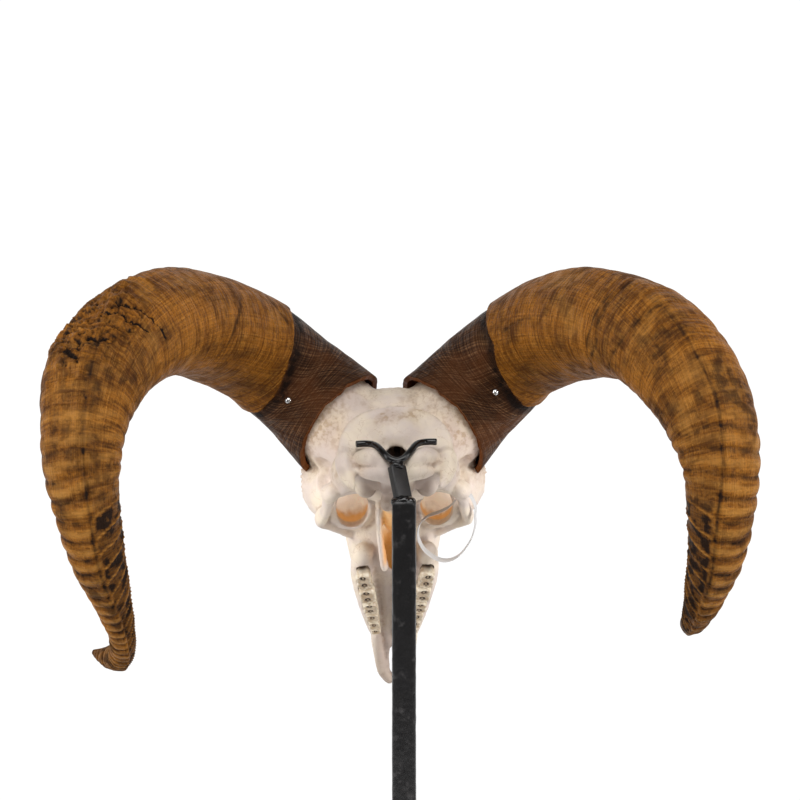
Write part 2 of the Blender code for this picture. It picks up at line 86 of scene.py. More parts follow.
def smooth_line(stations: Rows, count: int) -> np.ndarray:
    """Reads rows evenly from a smooth curve through given stations.

    Args:
        stations: Rows of x, y, z and any sizes after them.
        count: How many rows to read.

    Returns:
        The rows, with the sizes smoothed as the places are.
    """
    rows = np.array(stations, float)
    at = run_of(rows[:, :3])
    slopes = np.gradient(rows, at, axis=0, edge_order=2 if len(rows) > 2 else 1)
    wanted = np.linspace(0.0, at[-1], count)
    piece = np.clip(np.searchsorted(at, wanted, side="right") - 1, 0, len(at) - 2)
    span = (at[piece + 1] - at[piece])[:, None]
    t = ((wanted - at[piece])[:, None]) / span
    return (
        (2 * t**3 - 3 * t**2 + 1) * rows[piece]
        + (t**3 - 2 * t**2 + t) * span * slopes[piece]
        + (3 * t**2 - 2 * t**3) * rows[piece + 1]
        + (t**3 - t**2) * span * slopes[piece + 1]
    )


def run_of(points: np.ndarray) -> np.ndarray:
    """How far along a line of points each one lies."""
    steps = np.linalg.norm(np.diff(points, axis=0), axis=1)
    return np.concatenate(([0.0], np.cumsum(steps)))


def tangents_of(points: np.ndarray, closed: bool = False) -> np.ndarray:
    """Unit directions along a line of points.

    Args:
        points: The line's points, one a row.
        closed: Whether its end joins its start.

    Returns:
        One unit vector a point.
    """
    if closed:
        along = np.roll(points, -1, axis=0) - np.roll(points, 1, axis=0)
    else:
        along = np.gradient(points, axis=0)
    return along / np.linalg.norm(along, axis=1, keepdims=True)


def square_to(tangents: np.ndarray, reference: Sequence[float]) -> np.ndarray:
    """Unit vectors square to the tangents and nearest to a reference direction.

    Args:
        tangents: Unit directions, one a row.
        reference: The direction to stay near.

    Returns:
        One unit vector a tangent.
    """
    wanted = np.array(reference, float)
    flat = wanted - (tangents @ wanted)[:, None] * tangents
    return flat / np.linalg.norm(flat, axis=1, keepdims=True)


def rise(low: float, high: float, value: np.ndarray) -> np.ndarray:
    """Rises from 0 where the value is low to 1 where it is high, without a corner."""
    t = np.clip((value - low) / (high - low), 0.0, 1.0)
    return t * t * (3 - 2 * t)


def bell(offset: np.ndarray, width: float) -> np.ndarray:
    """Falls from 1 at no offset towards 0 past the width."""
    return np.exp(-((offset / width) ** 2))


def turn_from(zero: float | np.ndarray, degrees: np.ndarray) -> np.ndarray:
    """The shorter way round from one angle to others, -180 to 180."""
    return (degrees - zero + 180) % 360 - 180


def rough(points: np.ndarray, scale: float, octaves: int = 1) -> np.ndarray:
    """Smooth random heights at points in space, the same on every run.

    Args:
        points: Places in millimetres, one a row.
        scale: The size of one swelling in millimetres.
        octaves: How many finer layers are added, each half as strong.

    Returns:
        Heights of about -1 to 1.
    """
    total = np.zeros(len(points))
    for layer in range(octaves):
        finer = points * (2**layer / scale) + 17.3 * layer
        total += np.array([noise.noise(Vector(p)) for p in finer]) / 2**layer
    return total


@dataclass
class Ring:
    """One cross-section of a swept form, in millimetres."""

    centre: Vector
    across: Vector
    upright: Vector
    wide: float
    tall: float

    @property
    def axes(self) -> Matrix:
        """The ring's two axes and its direction of travel, as columns."""
        return Matrix((self.across, self.upright, self.across.cross(self.upright))).transposed()

    def corner(self, angle: float) -> Vector:
        """The point on the ring at an angle in radians."""
        return self.centre + self.across * (self.wide * math.cos(angle)) + self.upright * (self.tall * math.sin(angle))

    def copied(self, push: Vector, wide: float, tall: float) -> "Ring":
        """The ring moved by a vector, with new half sizes."""
        return Ring(self.centre + push, self.across, self.upright, wide, tall)


def rings_along(rows: np.ndarray, across: np.ndarray, upright: np.ndarray, wide: float, tall: float) -> list[Ring]:
    """Makes equal rings along a line.

    Args:
        rows: The centres.
        across: Unit vectors of the first axis.
        upright: Unit vectors of the second axis.
        wide: The half size along the first axis.
        tall: The half size along the second axis.

    Returns:
        One ring a row.
    """
    return [Ring(Vector(c), Vector(a), Vector(u), wide, tall) for c, a, u in zip(rows, across, upright)]


def with_round_ends(rings: list[Ring]) -> list[Ring]:
    """Adds two shrinking rings at each end, so that a swept form ends in domes.

    Args:
        rings: The rings of the form.

    Returns:
        The rings with their domes.
    """
    domes = []
    for ring, sign in ((rings[0], -1), (rings[-1], 1)):
        for k in (1, 2):
            reach = math.sin(math.pi / 2 * k / 2.35)
            shrink = math.sqrt(1 - reach**2)
            push = ring.axes.col[2] * (sign * reach * min(ring.wide, ring.tall))
            domes.append(ring.copied(push, ring.wide * shrink, ring.tall * shrink))
    return [domes[1], domes[0], *rings, domes[2], domes[3]]


# Modelling by hand


def deselect() -> None:
    """Leaves nothing selected, in object mode."""
    if bpy.context.mode != "OBJECT":
        bpy.ops.object.mode_set(mode="OBJECT")
    bpy.ops.object.select_all(action="DESELECT")


def take(thing: Piece) -> None:
    """Makes one object the only selected and the active one.

    Args:
        thing: The object.
    """
    deselect()
    thing.select_set(True)
    bpy.context.view_layer.objects.active = thing


@contextmanager
def editing(thing: Piece, picked: bool = False) -> Iterator[None]:
    """Opens an object in edit mode while a block runs, and closes it after.

    Args:
        thing: The object.
        picked: Whether the faces that are already selected stay so, instead of all of them.
    """
    take(thing)
    bpy.ops.object.mode_set(mode="EDIT")
    if not picked:
        bpy.ops.mesh.select_all(action="SELECT")
    yield
    bpy.ops.object.mode_set(mode="OBJECT")


def face_outwards() -> None:
    """Selects the whole mesh in edit mode and turns its faces outwards."""
    bpy.ops.mesh.select_all(action="SELECT")
    bpy.ops.mesh.normals_make_consistent(inside=False)


def finish_modifier(thing: Piece, kind: str, **settings: object) -> None:
    """Adds a modifier and applies it.

    Args:
        thing: The object that it works on.
        kind: The modifier's type.
        **settings: Its values by name.
    """
    take(thing)
    modifier = thing.modifiers.new(kind.lower(), kind)
    for name, value in settings.items():
        setattr(modifier, name, value)
    bpy.ops.object.modifier_apply(modifier=modifier.name)


def begin(name: str, primitive: Callable[..., object], **settings: object) -> Piece:
    """Adds a primitive and moves its place, turn and scale into its mesh.

    Args:
        name: The object's name.
        primitive: The operator that adds it.
        **settings: The operator's values.

    Returns:
        The object, at the origin.
    """
    deselect()
    primitive(**settings)
    thing = bpy.context.view_layer.objects.active
    thing.name = thing.data.name = name
    take(thing)
    bpy.ops.object.transform_apply(location=True, rotation=True, scale=True)
    return thing


def bevelled_block(name: str, centre: Vector, size: Vector, turn: Matrix, bevel: float) -> Piece:
    """A block with rounded edges.

    Args:
        name: The object's name.
        centre: Its middle in millimetres.
        size: Its three sizes.
        turn: Its turn.
        bevel: How wide its edges are rounded.

    Returns:
        The object, at the origin.
    """
    block = begin(name, bpy.ops.mesh.primitive_cube_add, size=1.0, location=centre * MM, rotation=turn.to_euler(),
                  scale=size * MM)
    with editing(block):
        bpy.ops.mesh.bevel(offset=bevel * MM, segments=3, affect="EDGES")
    return block


def join(name: str, parts: Sequence[Piece]) -> Piece:
    """Makes one object of several.

    Args:
        name: The name of the joined object.
        parts: What it is joined from.

    Returns:
        The joined object.
    """
    take(parts[0])
    for part in parts:
        part.select_set(True)
    bpy.ops.object.join()
    parts[0].name = parts[0].data.name = name
    return parts[0]


def cut_away(thing: Piece, cutter: Piece, operation: str = "DIFFERENCE") -> None:
    """Cuts one object by another, or fuses the two, and removes the second.

    Args:
        thing: The object that stays.
        cutter: The object that is used up.
        operation: DIFFERENCE or UNION.
    """
    finish_modifier(thing, "BOOLEAN", operation=operation, object=cutter, solver="EXACT")
    bpy.data.objects.remove(cutter)


def turn_selected(turn: Matrix, centre: Vector) -> None:
    """Turns what is selected in edit mode about a point.

    With no window the rotate operator turns the other way, so each angle is given its opposite sign.

    Args:
        turn: The turn as a 3 x 3 matrix.
        centre: The point, in metres.
    """
    for axis, angle in zip("XYZ", turn.to_euler("XYZ")):
        if abs(angle) > 1e-7:
            bpy.ops.transform.rotate(value=-angle, orient_axis=axis, orient_type="GLOBAL", center_override=centre)


def size_selected(ring: Ring, wide: float, tall: float) -> None:
    """Scales what is selected in edit mode along a ring's own two axes.

    Args:
        ring: The ring that gives the axes and the centre.
        wide: The factor along the first axis.
        tall: The factor along the second axis.
    """
    bpy.ops.transform.resize(
        value=(wide, tall, 1.0), orient_type="GLOBAL", orient_matrix=ring.axes, orient_matrix_type="GLOBAL",
        center_override=ring.centre * MM)


def sweep(name: str, rings: Sequence[Ring], sides: int) -> Piece:
    """Extrudes a filled circle from ring to ring into a closed solid.

    Args:
        name: The object's name.
        rings: The cross-sections, from one end to the other.
        sides: How many corners the circle has.

    Returns:
        The object, at the origin.
    """
    first = rings[0]
    thing = begin(name, bpy.ops.mesh.primitive_circle_add, vertices=sides, radius=MM, fill_type="NGON",
                  location=first.centre * MM, rotation=first.axes.to_euler())
    with editing(thing):
        size_selected(first, first.wide, first.tall)
        for last, here in zip(rings, rings[1:]):
            bpy.ops.mesh.extrude_region_move()
            bpy.ops.transform.translate(value=(here.centre - last.centre) * MM)
            turn_selected(here.axes @ last.axes.inverted(), here.centre * MM)
            size_selected(here, here.wide / last.wide, here.tall / last.tall)
        face_outwards()
    return thing


def close_loop(name: str, rings: Sequence[Ring], sides: int) -> Piece:
    """Sweeps rings round a loop and bridges the last one to the first.

    Args:
        name: The object's name.
        rings: The cross-sections, once round.
        sides: How many corners each one has.

    Returns:
        The object, at the origin.
    """
    thing = sweep(name, rings, sides)
    with editing(thing):
        bpy.ops.mesh.select_mode(type="FACE")
        bpy.ops.mesh.select_all(action="DESELECT")
    for polygon in thing.data.polygons:
        polygon.select = len(polygon.vertices) == sides
    with editing(thing, picked=True):
        bpy.ops.mesh.bridge_edge_loops()
        face_outwards()
    return thing


def places_of(thing: Piece) -> np.ndarray:
    """The object's corner points in millimetres, one a row.

    Args:
        thing: The object.

    Returns:
        The points.
    """
    flat = np.empty(len(thing.data.vertices) * 3)
    thing.data.vertices.foreach_get("co", flat)
    return flat.reshape(-1, 3) / MM


def place_points(thing: Piece, points: np.ndarray) -> None:
    """Writes the object's corner points back, from millimetres."""
    thing.data.vertices.foreach_set("co", (points * MM).ravel())
    thing.data.update()


def normals_of(thing: Piece) -> np.ndarray:
    """The object's point normals, one a row.

    Args:
        thing: The object.

    Returns:
        The normals.
    """
    flat = np.empty(len(thing.data.vertices) * 3)
    thing.data.vertex_normals.foreach_get("vector", flat)
    return flat.reshape(-1, 3)


def finder(points: Sequence[Sequence[float]]) -> kdtree.KDTree:
    """A lookup of the nearest of some points.

    Args:
        points: The points.

    Returns:
        The lookup, by each point's index.
    """
    lookup = kdtree.KDTree(len(points))
    for index, spot in enumerate(points):
        lookup.insert(spot, index)
    lookup.balance()
    return lookup


def write_layer(thing: Piece, name: str, kind: str, field: str, values: np.ndarray) -> None:
    """Stores a value a point, which a material reads.

    Args:
        thing: The object.
        name: The attribute's name.
        kind: FLOAT, FLOAT_VECTOR or FLOAT_COLOR.
        field: What such a value is called: value, vector or color.
        values: The values, one a row.
    """
    layer = thing.data.attributes.new(name, kind, "POINT")
    layer.data.foreach_set(field, values.astype(np.float32).ravel())


def write_masks(thing: Piece, name: str, *masks: np.ndarray) -> None:
    """Stores four masks of 0 to 1 on the object's points."""
    write_layer(thing, name, "FLOAT_COLOR", "color", np.stack(masks, axis=1).clip(0.0, 1.0))


def hand_in(thing: Piece, finish: Material, crease: float, slot: str, *nodes: str) -> None:
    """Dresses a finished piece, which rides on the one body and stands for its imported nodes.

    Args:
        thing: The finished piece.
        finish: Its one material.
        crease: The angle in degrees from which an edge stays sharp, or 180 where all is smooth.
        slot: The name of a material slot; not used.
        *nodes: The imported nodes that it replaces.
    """
    smooth_faces(thing, crease)
    thing.data.materials.clear()
    thing.data.materials.append(finish)
    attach(thing, "root")
    if nodes:
        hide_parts(*nodes)
    log.info("%s: %d faces", thing.name, len(thing.data.polygons))


def smooth_faces(thing: Piece, crease: float) -> None:
    """Shades an object smooth except across edges sharper than the crease angle.

    Args:
        thing: The object.
        crease: The angle in degrees, or 180 where all is smooth.
    """
    take(thing)
    if crease < 180:
        bpy.ops.object.shade_smooth_by_angle(angle=math.radians(crease))
    else:
        bpy.ops.object.shade_smooth()


# Finishes


@dataclass(frozen=True)
class Number:
    """A number that changes over a surface, with the sums that a finish works out from it."""

    graph: "Graph"
    socket: bpy.types.NodeSocket

    def __add__(self, other: object) -> "Number":
        """Adds a number."""
        return self.graph.sum("ADD", self, other)

    def __sub__(self, other: object) -> "Number":
        """Takes a number away."""
        return self.graph.sum("SUBTRACT", self, other)

    def __rsub__(self, other: object) -> "Number":
        """Takes it away from a number."""
        return self.graph.sum("SUBTRACT", other, self)

    def __mul__(self, other: object) -> "Number":
        """Multiplies by a number."""
        return self.graph.sum("MULTIPLY", self, other)

    def __pow__(self, other: object) -> "Number":
        """Raises it to a power."""
        return self.graph.sum("POWER", self, other)

    def spread(self, low: float, high: float, start: float = 0.0, end: float = 1.0) -> "Number":
        """Stretches what lies between low and high onto start to end, and clamps it."""
        node = self.graph.add("MapRange", From_Min=low, From_Max=high, To_Min=start, To_Max=end, Value=self)
        return Number(self.graph, node.outputs["Result"])


class Graph:
    """A node tree that is filled one node at a time."""

    def __init__(self, tree: bpy.types.NodeTree) -> None:
        """Keeps the tree."""
        self.tree = tree

    def put(self, socket: bpy.types.NodeSocket, value: object) -> None:
        """Links an input to a number or an output, or sets its value.

        Args:
            socket: The input.
            value: An output, a number that changes, or a plain value.
        """
        source = value.socket if isinstance(value, Number) else value
        if isinstance(source, bpy.types.NodeSocket):
            self.tree.links.new(source, socket)
        else:
            socket.default_value = source

    def add(self, kind: str, settings: dict[str, object] | None = None, **values: object) -> bpy.types.Node:
        """Adds a node.

        Args:
            kind: Its type after ShaderNode.
            settings: Its own settings by name.
            **values: Its inputs by name, with _ for a space.

        Returns:
            The node.
        """
        node = self.tree.nodes.new("ShaderNode" + kind)
        for name, value in (settings or {}).items():
            setattr(node, name, value)
        for name, value in values.items():
            self.put(node.inputs[name.replace("_", " ")], value)
        return node

    def sum(self, operation: str, *numbers: object) -> Number:
        """The result of a Math node for one or two numbers.

        Args:
            operation: The sum to work out.
            *numbers: What it is worked out from.

        Returns:
            The result.
        """
        node = self.add("Math", {"operation": operation})
        for socket, number in zip(node.inputs, numbers):
            self.put(socket, number)
        return Number(self, node.outputs[0])

    def blend(self, factor: object, first: object, second: object) -> bpy.types.NodeSocket:
        """Mixes as much of the second colour into the first as the factor says.

        Args:
            factor: How much of the second, 0 to 1.
            first: The first colour.
            second: The second colour.

        Returns:
            The mixed colour.
        """
        node = self.add("Mix", {"data_type": "RGBA"})
        for index, value in ((0, factor), (6, first), (7, second)):
            self.put(node.inputs[index], value)
        return node.outputs[2]

    def noise(self, place: object, scale: float, detail: float) -> Number:
        """A plain cloud pattern."""
        return Number(self, self.add("TexNoise", Vector=place, Scale=scale, Detail=detail).outputs["Fac"])

    def effect(self, name: str, *values: object) -> Number:
        """Places a shared effect, with its inputs in their order.

        Args:
            name: The node group's name.
            *values: Its inputs.

        Returns:
            Its output.
        """
        node = self.add("Group", {"node_tree": bpy.data.node_groups[name]})
        for socket, value in zip(node.inputs, values):
            self.put(socket, value)
        return Number(self, node.outputs[0])


class SharedEffects:
    """The effects that several finishes place with their own values."""

    @staticmethod
    def start(name: str, output: str, **inputs: float | None) -> tuple[Graph, bpy.types.NodeSocket, Sequence]:
        """Starts a node group.

        Args:
            name: The group's name.
            output: Its one output, a number.
            **inputs: Its inputs, each with a default number or None for a vector.

        Returns:
            Its graph, its output's socket inside and its inputs' sockets inside.
        """
        tree = bpy.data.node_groups.new(name, "ShaderNodeTree")
        for key, value in inputs.items():
            kind = "NodeSocketVector" if value is None else "NodeSocketFloat"
            socket = tree.interface.new_socket(key, in_out="INPUT", socket_type=kind)
            if value is not None:
                socket.default_value = value
        tree.interface.new_socket(output, in_out="OUTPUT", socket_type="NodeSocketFloat")
        source, sink = tree.nodes.new("NodeGroupInput"), tree.nodes.new("NodeGroupOutput")
        return Graph(tree), sink.inputs[output], [source.outputs[key] for key in inputs]

    def patches(self) -> None:
        """Soft-edged patches: a noise between two levels, for stains, mottling and wear."""
        graph, mask, (place, scale, detail, low, high) = self.start(
            "patches", "Mask", Vector=None, Scale=50.0, Detail=3.0, Low=0.4, High=0.6)
        cloud = graph.noise(place, scale, detail)
        edge = graph.add("MapRange", {"interpolation_type": "SMOOTHSTEP"}, Value=cloud, From_Min=low, From_Max=high)
        graph.put(mask, edge.outputs["Result"])

    def grain(self) -> None:
        """Fine lines: a noise stretched by a vector, for fibres along and across a surface."""
        graph, height, (place, stretch, detail) = self.start(
            "grain", "Height", Vector=None, Stretch=None, Detail=2.0)
        stretched = graph.add("VectorMath", {"operation": "MULTIPLY"})
        graph.put(stretched.inputs[0], place)
        graph.put(stretched.inputs[1], stretch)
        graph.put(height, graph.noise(stretched.outputs[0], 1.0, detail))

    def pits(self) -> None:
        """Small round pits: the near part of a cell pattern, for pores and hammer marks."""
        graph, mask, (place, scale, reach) = self.start("pits", "Mask", Vector=None, Scale=400.0, Reach=0.3)
        cells = graph.add("TexVoronoi", Vector=place, Scale=scale).outputs["Distance"]
        edge = graph.add("MapRange", {"interpolation_type": "SMOOTHSTEP"}, Value=cells, From_Min=reach, From_Max=0.0)
        graph.put(mask, edge.outputs["Result"])

    def build(self) -> None:
        """Builds every shared effect once."""
        self.patches()
        self.grain()
        self.pits()


class Surface(Graph):
    """A new material's node tree, with the place on its object and its Principled shader."""

    def __init__(self, name: str) -> None:
        """Starts the material."""
        self.made = bpy.data.materials.new(name)
        self.made.use_nodes = True
        super().__init__(self.made.node_tree)
        self.shader = self.tree.nodes["Principled BSDF"]
        self.place = self.add("TexCoord").outputs["Object"]

    def masks(self, name: str) -> list[Number]:
        """The four masks that an object's points hold under a name.

        Args:
            name: The attribute's name.

        Returns:
            The masks, red to alpha.
        """
        stored = self.add("Attribute", {"attribute_name": name}).outputs
        parts = self.add("SeparateColor", Color=stored["Color"]).outputs
        return [Number(self, socket) for socket in (parts[0], parts[1], parts[2], stored["Alpha"])]

    @staticmethod
    def worn_gloss(mask: Number, roughness: float, more: float) -> Number:
        """A roughness that is greater where the mask is 1."""
        return mask.spread(0.0, 1.0, roughness, roughness + more)

    def dress(self, colour: object, roughness: object, bump: tuple[Number, float, float] | None = None
              ) -> Material:
        """Feeds the shader.

        Args:
            colour: The base colour.
            roughness: The roughness.
            bump: The relief's height, its strength and how high it is in metres.

        Returns:
            The finished material.
        """
        self.put(self.shader.inputs["Base Color"], colour)
        self.put(self.shader.inputs["Roughness"], roughness)
        if bump:
            relief = self.add("Bump", Strength=bump[1], Distance=bump[2], Height=bump[0])
            self.put(self.shader.inputs["Normal"], relief.outputs[0])
        return self.made


@dataclass(frozen=True)
class BoneFinish:
    """Bleached bone: warm ivory with tan stains and fine pores, painted shade in the hollows and dents, and a painted
    amber glow and pale light in the eye sockets and the throat.
    """

    ivory: Colour = (0.74, 0.625, 0.555, 1.0)
    cream: Colour = (0.85, 0.73, 0.575, 1.0)
    tan: Colour = (0.40, 0.235, 0.11, 1.0)
    shade: Colour = (0.30, 0.21, 0.165, 1.0)
    amber: Colour = (0.74, 0.36, 0.075, 1.0)
    unlit: Colour = (0.0, 0.0, 0.0, 1.0)
    roughness: float = 0.5
    light: float = 0.27

    def material(self) -> Material:
        """Builds the material, which reads four masks: stain with painted shade in the dents, painted shade in the
        hollows, a painted amber glow and a painted pale light.

        Returns:
            The material.
        """
        bone = Surface("bleached_bone")
        stain, hollow, glow, lit = bone.masks("bone_masks")
        broad = bone.effect("patches", bone.place, 38.0, 4.0, 0.38, 0.66)
        fine = bone.effect("patches", bone.place, 260.0, 5.0, 0.46, 0.62)
        pores = bone.effect("pits", bone.place, 620.0, 0.26)
        waves = bone.effect("grain", bone.place, (75.0, 60.0, 75.0), 4.0)
        fibres = bone.effect("grain", bone.place, (900.0, 240.0, 900.0), 3.0)
        seam = bone.sum("ABSOLUTE", waves - 0.5).spread(0.0, 0.011, 1.0, 0.0)
        dotted = pores * (stain * 0.55)
        colour = bone.blend(broad * 0.9, self.ivory, self.cream)
        # Painted shade: the hollow mask lays the shade colour into the hollows, the stain also carries painted shade in
        # the dents, and the pores are darkened with the shade colour.
        for factor, over in ((seam * broad.spread(0.0, 1.0, 0.08, 0.4), self.tan), (hollow * 0.75, self.shade),
                             (stain * (fine * 0.4 + 0.25), self.tan), (dotted, self.shade), (glow, self.amber)):
            colour = bone.blend(factor, colour, over)
        # Painted light: the glow mask gives an amber glow and the lit mask a pale light, both as emission, and the glow
        # also tints the base colour amber.
        light = bone.blend(lit, self.unlit, self.cream)
        bone.put(bone.shader.inputs["Emission Color"], bone.blend(glow, light, self.amber))
        bone.put(bone.shader.inputs["Emission Strength"], self.light)
        height = fibres * 0.5 - dotted * 1.2
        return bone.dress(colour, bone.worn_gloss(fine, self.roughness, 0.15), (height, 0.35, 0.0006))


@dataclass(frozen=True)
class HornFinish:
    """Weathered horn: golden brown over a dark base, with fibres along it, growth lines round it, and painted shade and
    painted highlights over its ridges.
    """

    golden: Colour = (0.275, 0.098, 0.010, 1.0)
    pale: Colour = (0.40, 0.19, 0.042, 1.0)
    brown: Colour = (0.045, 0.014, 0.003, 1.0)
    base: Colour = (0.015, 0.006, 0.003, 1.0)
    rust: Colour = (0.075, 0.025, 0.008, 1.0)
    straw: Colour = (0.23, 0.115, 0.055, 1.0)
    black: Colour = (0.009, 0.0045, 0.003, 1.0)
    amber: Colour = (0.17, 0.055, 0.012, 1.0)
    roughness: float = 0.40
    sheen_level: float = 0.06

    def material(self, name: str) -> Material:
        """Builds the material, which reads the masks base, dark, pale and crack and the mask of the hollow.

        Args:
            name: The material's name.

        Returns:
            The material.
        """
        horn = Surface(name)
        base, dark, pale, crack = horn.masks("horn_masks")
        inside = horn.add("Attribute", {"attribute_name": "horn_inside"}).outputs["Fac"]
        around = horn.add("Attribute", {"attribute_name": "horn_place"}).outputs["Vector"]
        clouds = horn.effect("patches", horn.place, 30.0, 6.0, 0.40, 0.62)
        mottle = horn.effect("patches", horn.place, 120.0, 6.0, 0.43, 0.60)
        specks = horn.effect("patches", horn.place, 520.0, 5.0, 0.40, 0.66)
        along = horn.effect("grain", around, (800.0, 800.0, 45.0), 5.0)
        across = horn.effect("grain", around, (38.0, 38.0, 560.0), 6.0)
        hair = horn.effect("grain", around, (820.0, 820.0, 5.0), 1.5)
        rings = horn.effect("grain", around, (5.0, 5.0, 820.0), 1.5)
        fibres, lines = along.spread(0.36, 0.64), across.spread(0.36, 0.62)
        scratch = (hair.spread(0.44, 0.66) + rings.spread(0.44, 0.66)) ** 2.0 * mottle.spread(0.0, 1.0, 0.3, 0.16)
        weave = hair.spread(0.62, 0.42) * rings.spread(0.66, 0.4) * (0.55 - base * 0.55)
        torn = (crack + specks * 0.4).spread(0.48, 0.95)
        root = horn.blend(clouds.spread(0.0, 1.0, 0.05, 0.95), self.base, self.rust)
        root = horn.blend(horn.sum("MINIMUM", scratch, 0.85), root, self.straw)
        colour = horn.blend(clouds * (mottle * 0.45 + 0.35), self.golden, self.brown)
        for factor, over in (
            (lines * (fibres * 0.55 + 0.05) * 0.7, self.pale), (base, root), ((1.0 - lines) ** 2.0 * 0.5, self.brown),
            (weave, self.brown), (specks ** 3.0 * 0.45, self.brown),
            # The pale mask lays painted highlights, and the dark mask lays painted shade besides weathering.
            (pale * mottle.spread(0.0, 1.0, 0.75, 0.4), self.pale),
            (horn.sum("MINIMUM", dark * (mottle * 0.7 + 0.75), 0.97), self.black), (torn, self.black),
            (inside, self.amber),
        ):
            colour = horn.blend(factor, colour, over)
        horn.put(horn.shader.inputs["Specular IOR Level"], self.sheen_level)
        gloss = (mottle + crack).spread(0.0, 1.6, self.roughness, self.roughness + 0.3)
        return horn.dress(colour, gloss, (mottle * 0.35 + across * 1.1 + along * 0.4, 0.9, 0.0014))


@dataclass(frozen=True)
class ToothFinish:
    """Worn enamel: cream with brown stain in the hollows, darker at the gum line, and painted shade on the faces
    between neighbouring teeth.
    """

    enamel: Colour = (0.80, 0.71, 0.56, 1.0)
    dentine: Colour = (0.40, 0.24, 0.11, 1.0)
    stain: Colour = (0.07, 0.04, 0.025, 1.0)
    roughness: float = 0.28

    def material(self) -> Material:
        """Builds the material, which reads the mask of stain and painted shade and the dentine mask.

        Returns:
            The material.
        """
        tooth = Surface("worn_enamel")
        stain, worn, _, _ = tooth.masks("tooth_masks")
        fine = tooth.effect("patches", tooth.place, 300.0, 4.0, 0.4, 0.62)
        colour = tooth.blend(fine * 0.5, self.enamel, self.dentine)
        colour = tooth.blend(worn * 0.8, colour, self.dentine)
        colour = tooth.blend(stain, colour, self.stain)
        lines = tooth.effect("grain", tooth.place, (1500.0, 1500.0, 300.0), 2.0)
        return tooth.dress(colour, tooth.worn_gloss(stain, self.roughness, 0.32), (lines, 0.25, 0.0004))


@dataclass(frozen=True)
class BlackPaintFinish:
    """Black paint on steel, with soft hammer marks or glossy weld skin."""

    colour: Colour = (0.006, 0.0055, 0.0057, 1.0)
    scuff: Colour = (0.045, 0.041, 0.041, 1.0)
    roughness: float = 0.34
    marks: float = 0.5
    mark_scale: float = 230.0

    def material(self, name: str) -> Material:
        """Builds the material.

        Args:
            name: The material's name.

        Returns:
            The material.
        """
        paint = Surface(name)
        worn = paint.effect("patches", paint.place, 160.0, 6.0, 0.55, 0.75)
        dust = paint.effect("patches", paint.place, 900.0, 3.0, 0.5, 0.8)
        colour = paint.blend(worn * 0.5, self.colour, self.scuff)
        colour = paint.blend(dust * 0.25, colour, self.scuff)
        dents = paint.effect("pits", paint.place, self.mark_scale, 0.7)
        height = dents * self.marks + paint.noise(paint.place, 1400.0, 3.0) * 0.12
        return paint.dress(colour, paint.worn_gloss(worn, self.roughness, 0.2), (height, 0.4, 0.0005))


@dataclass(frozen=True)
class ScrewFinish:
    """Bright turned steel with a faint turning grain."""

    colour: Colour = (0.78, 0.78, 0.79, 1.0)
    dull: Colour = (0.45, 0.44, 0.43, 1.0)
    roughness: float = 0.16

    def material(self) -> Material:
        """Builds the material.

        Returns:
            The material.
        """
        steel = Surface("bright_steel")
        steel.put(steel.shader.inputs["Metallic"], 1.0)
        worn = steel.effect("patches", steel.place, 900.0, 3.0, 0.4, 0.7)
        return steel.dress(steel.blend(worn, self.colour, self.dull), steel.worn_gloss(worn, self.roughness, 0.18))


@dataclass(frozen=True)
class BandFinish:
    """Plain white plastic strip, a little scuffed."""

    colour: Colour = (0.60, 0.585, 0.575, 1.0)
    scuff: Colour = (0.50, 0.47, 0.44, 1.0)
    roughness: float = 0.38

    def material(self) -> Material:
        """Builds the material.

        Returns:
            The material.
        """
        band = Surface("white_band")
        worn = band.effect("patches", band.place, 320.0, 5.0, 0.52, 0.75)
        return band.dress(band.blend(worn * 0.5, self.colour, self.scuff), band.worn_gloss(worn, self.roughness, 0.2),
                          (band.noise(band.place, 700.0, 2.0), 0.12, 0.0004))


# Horns


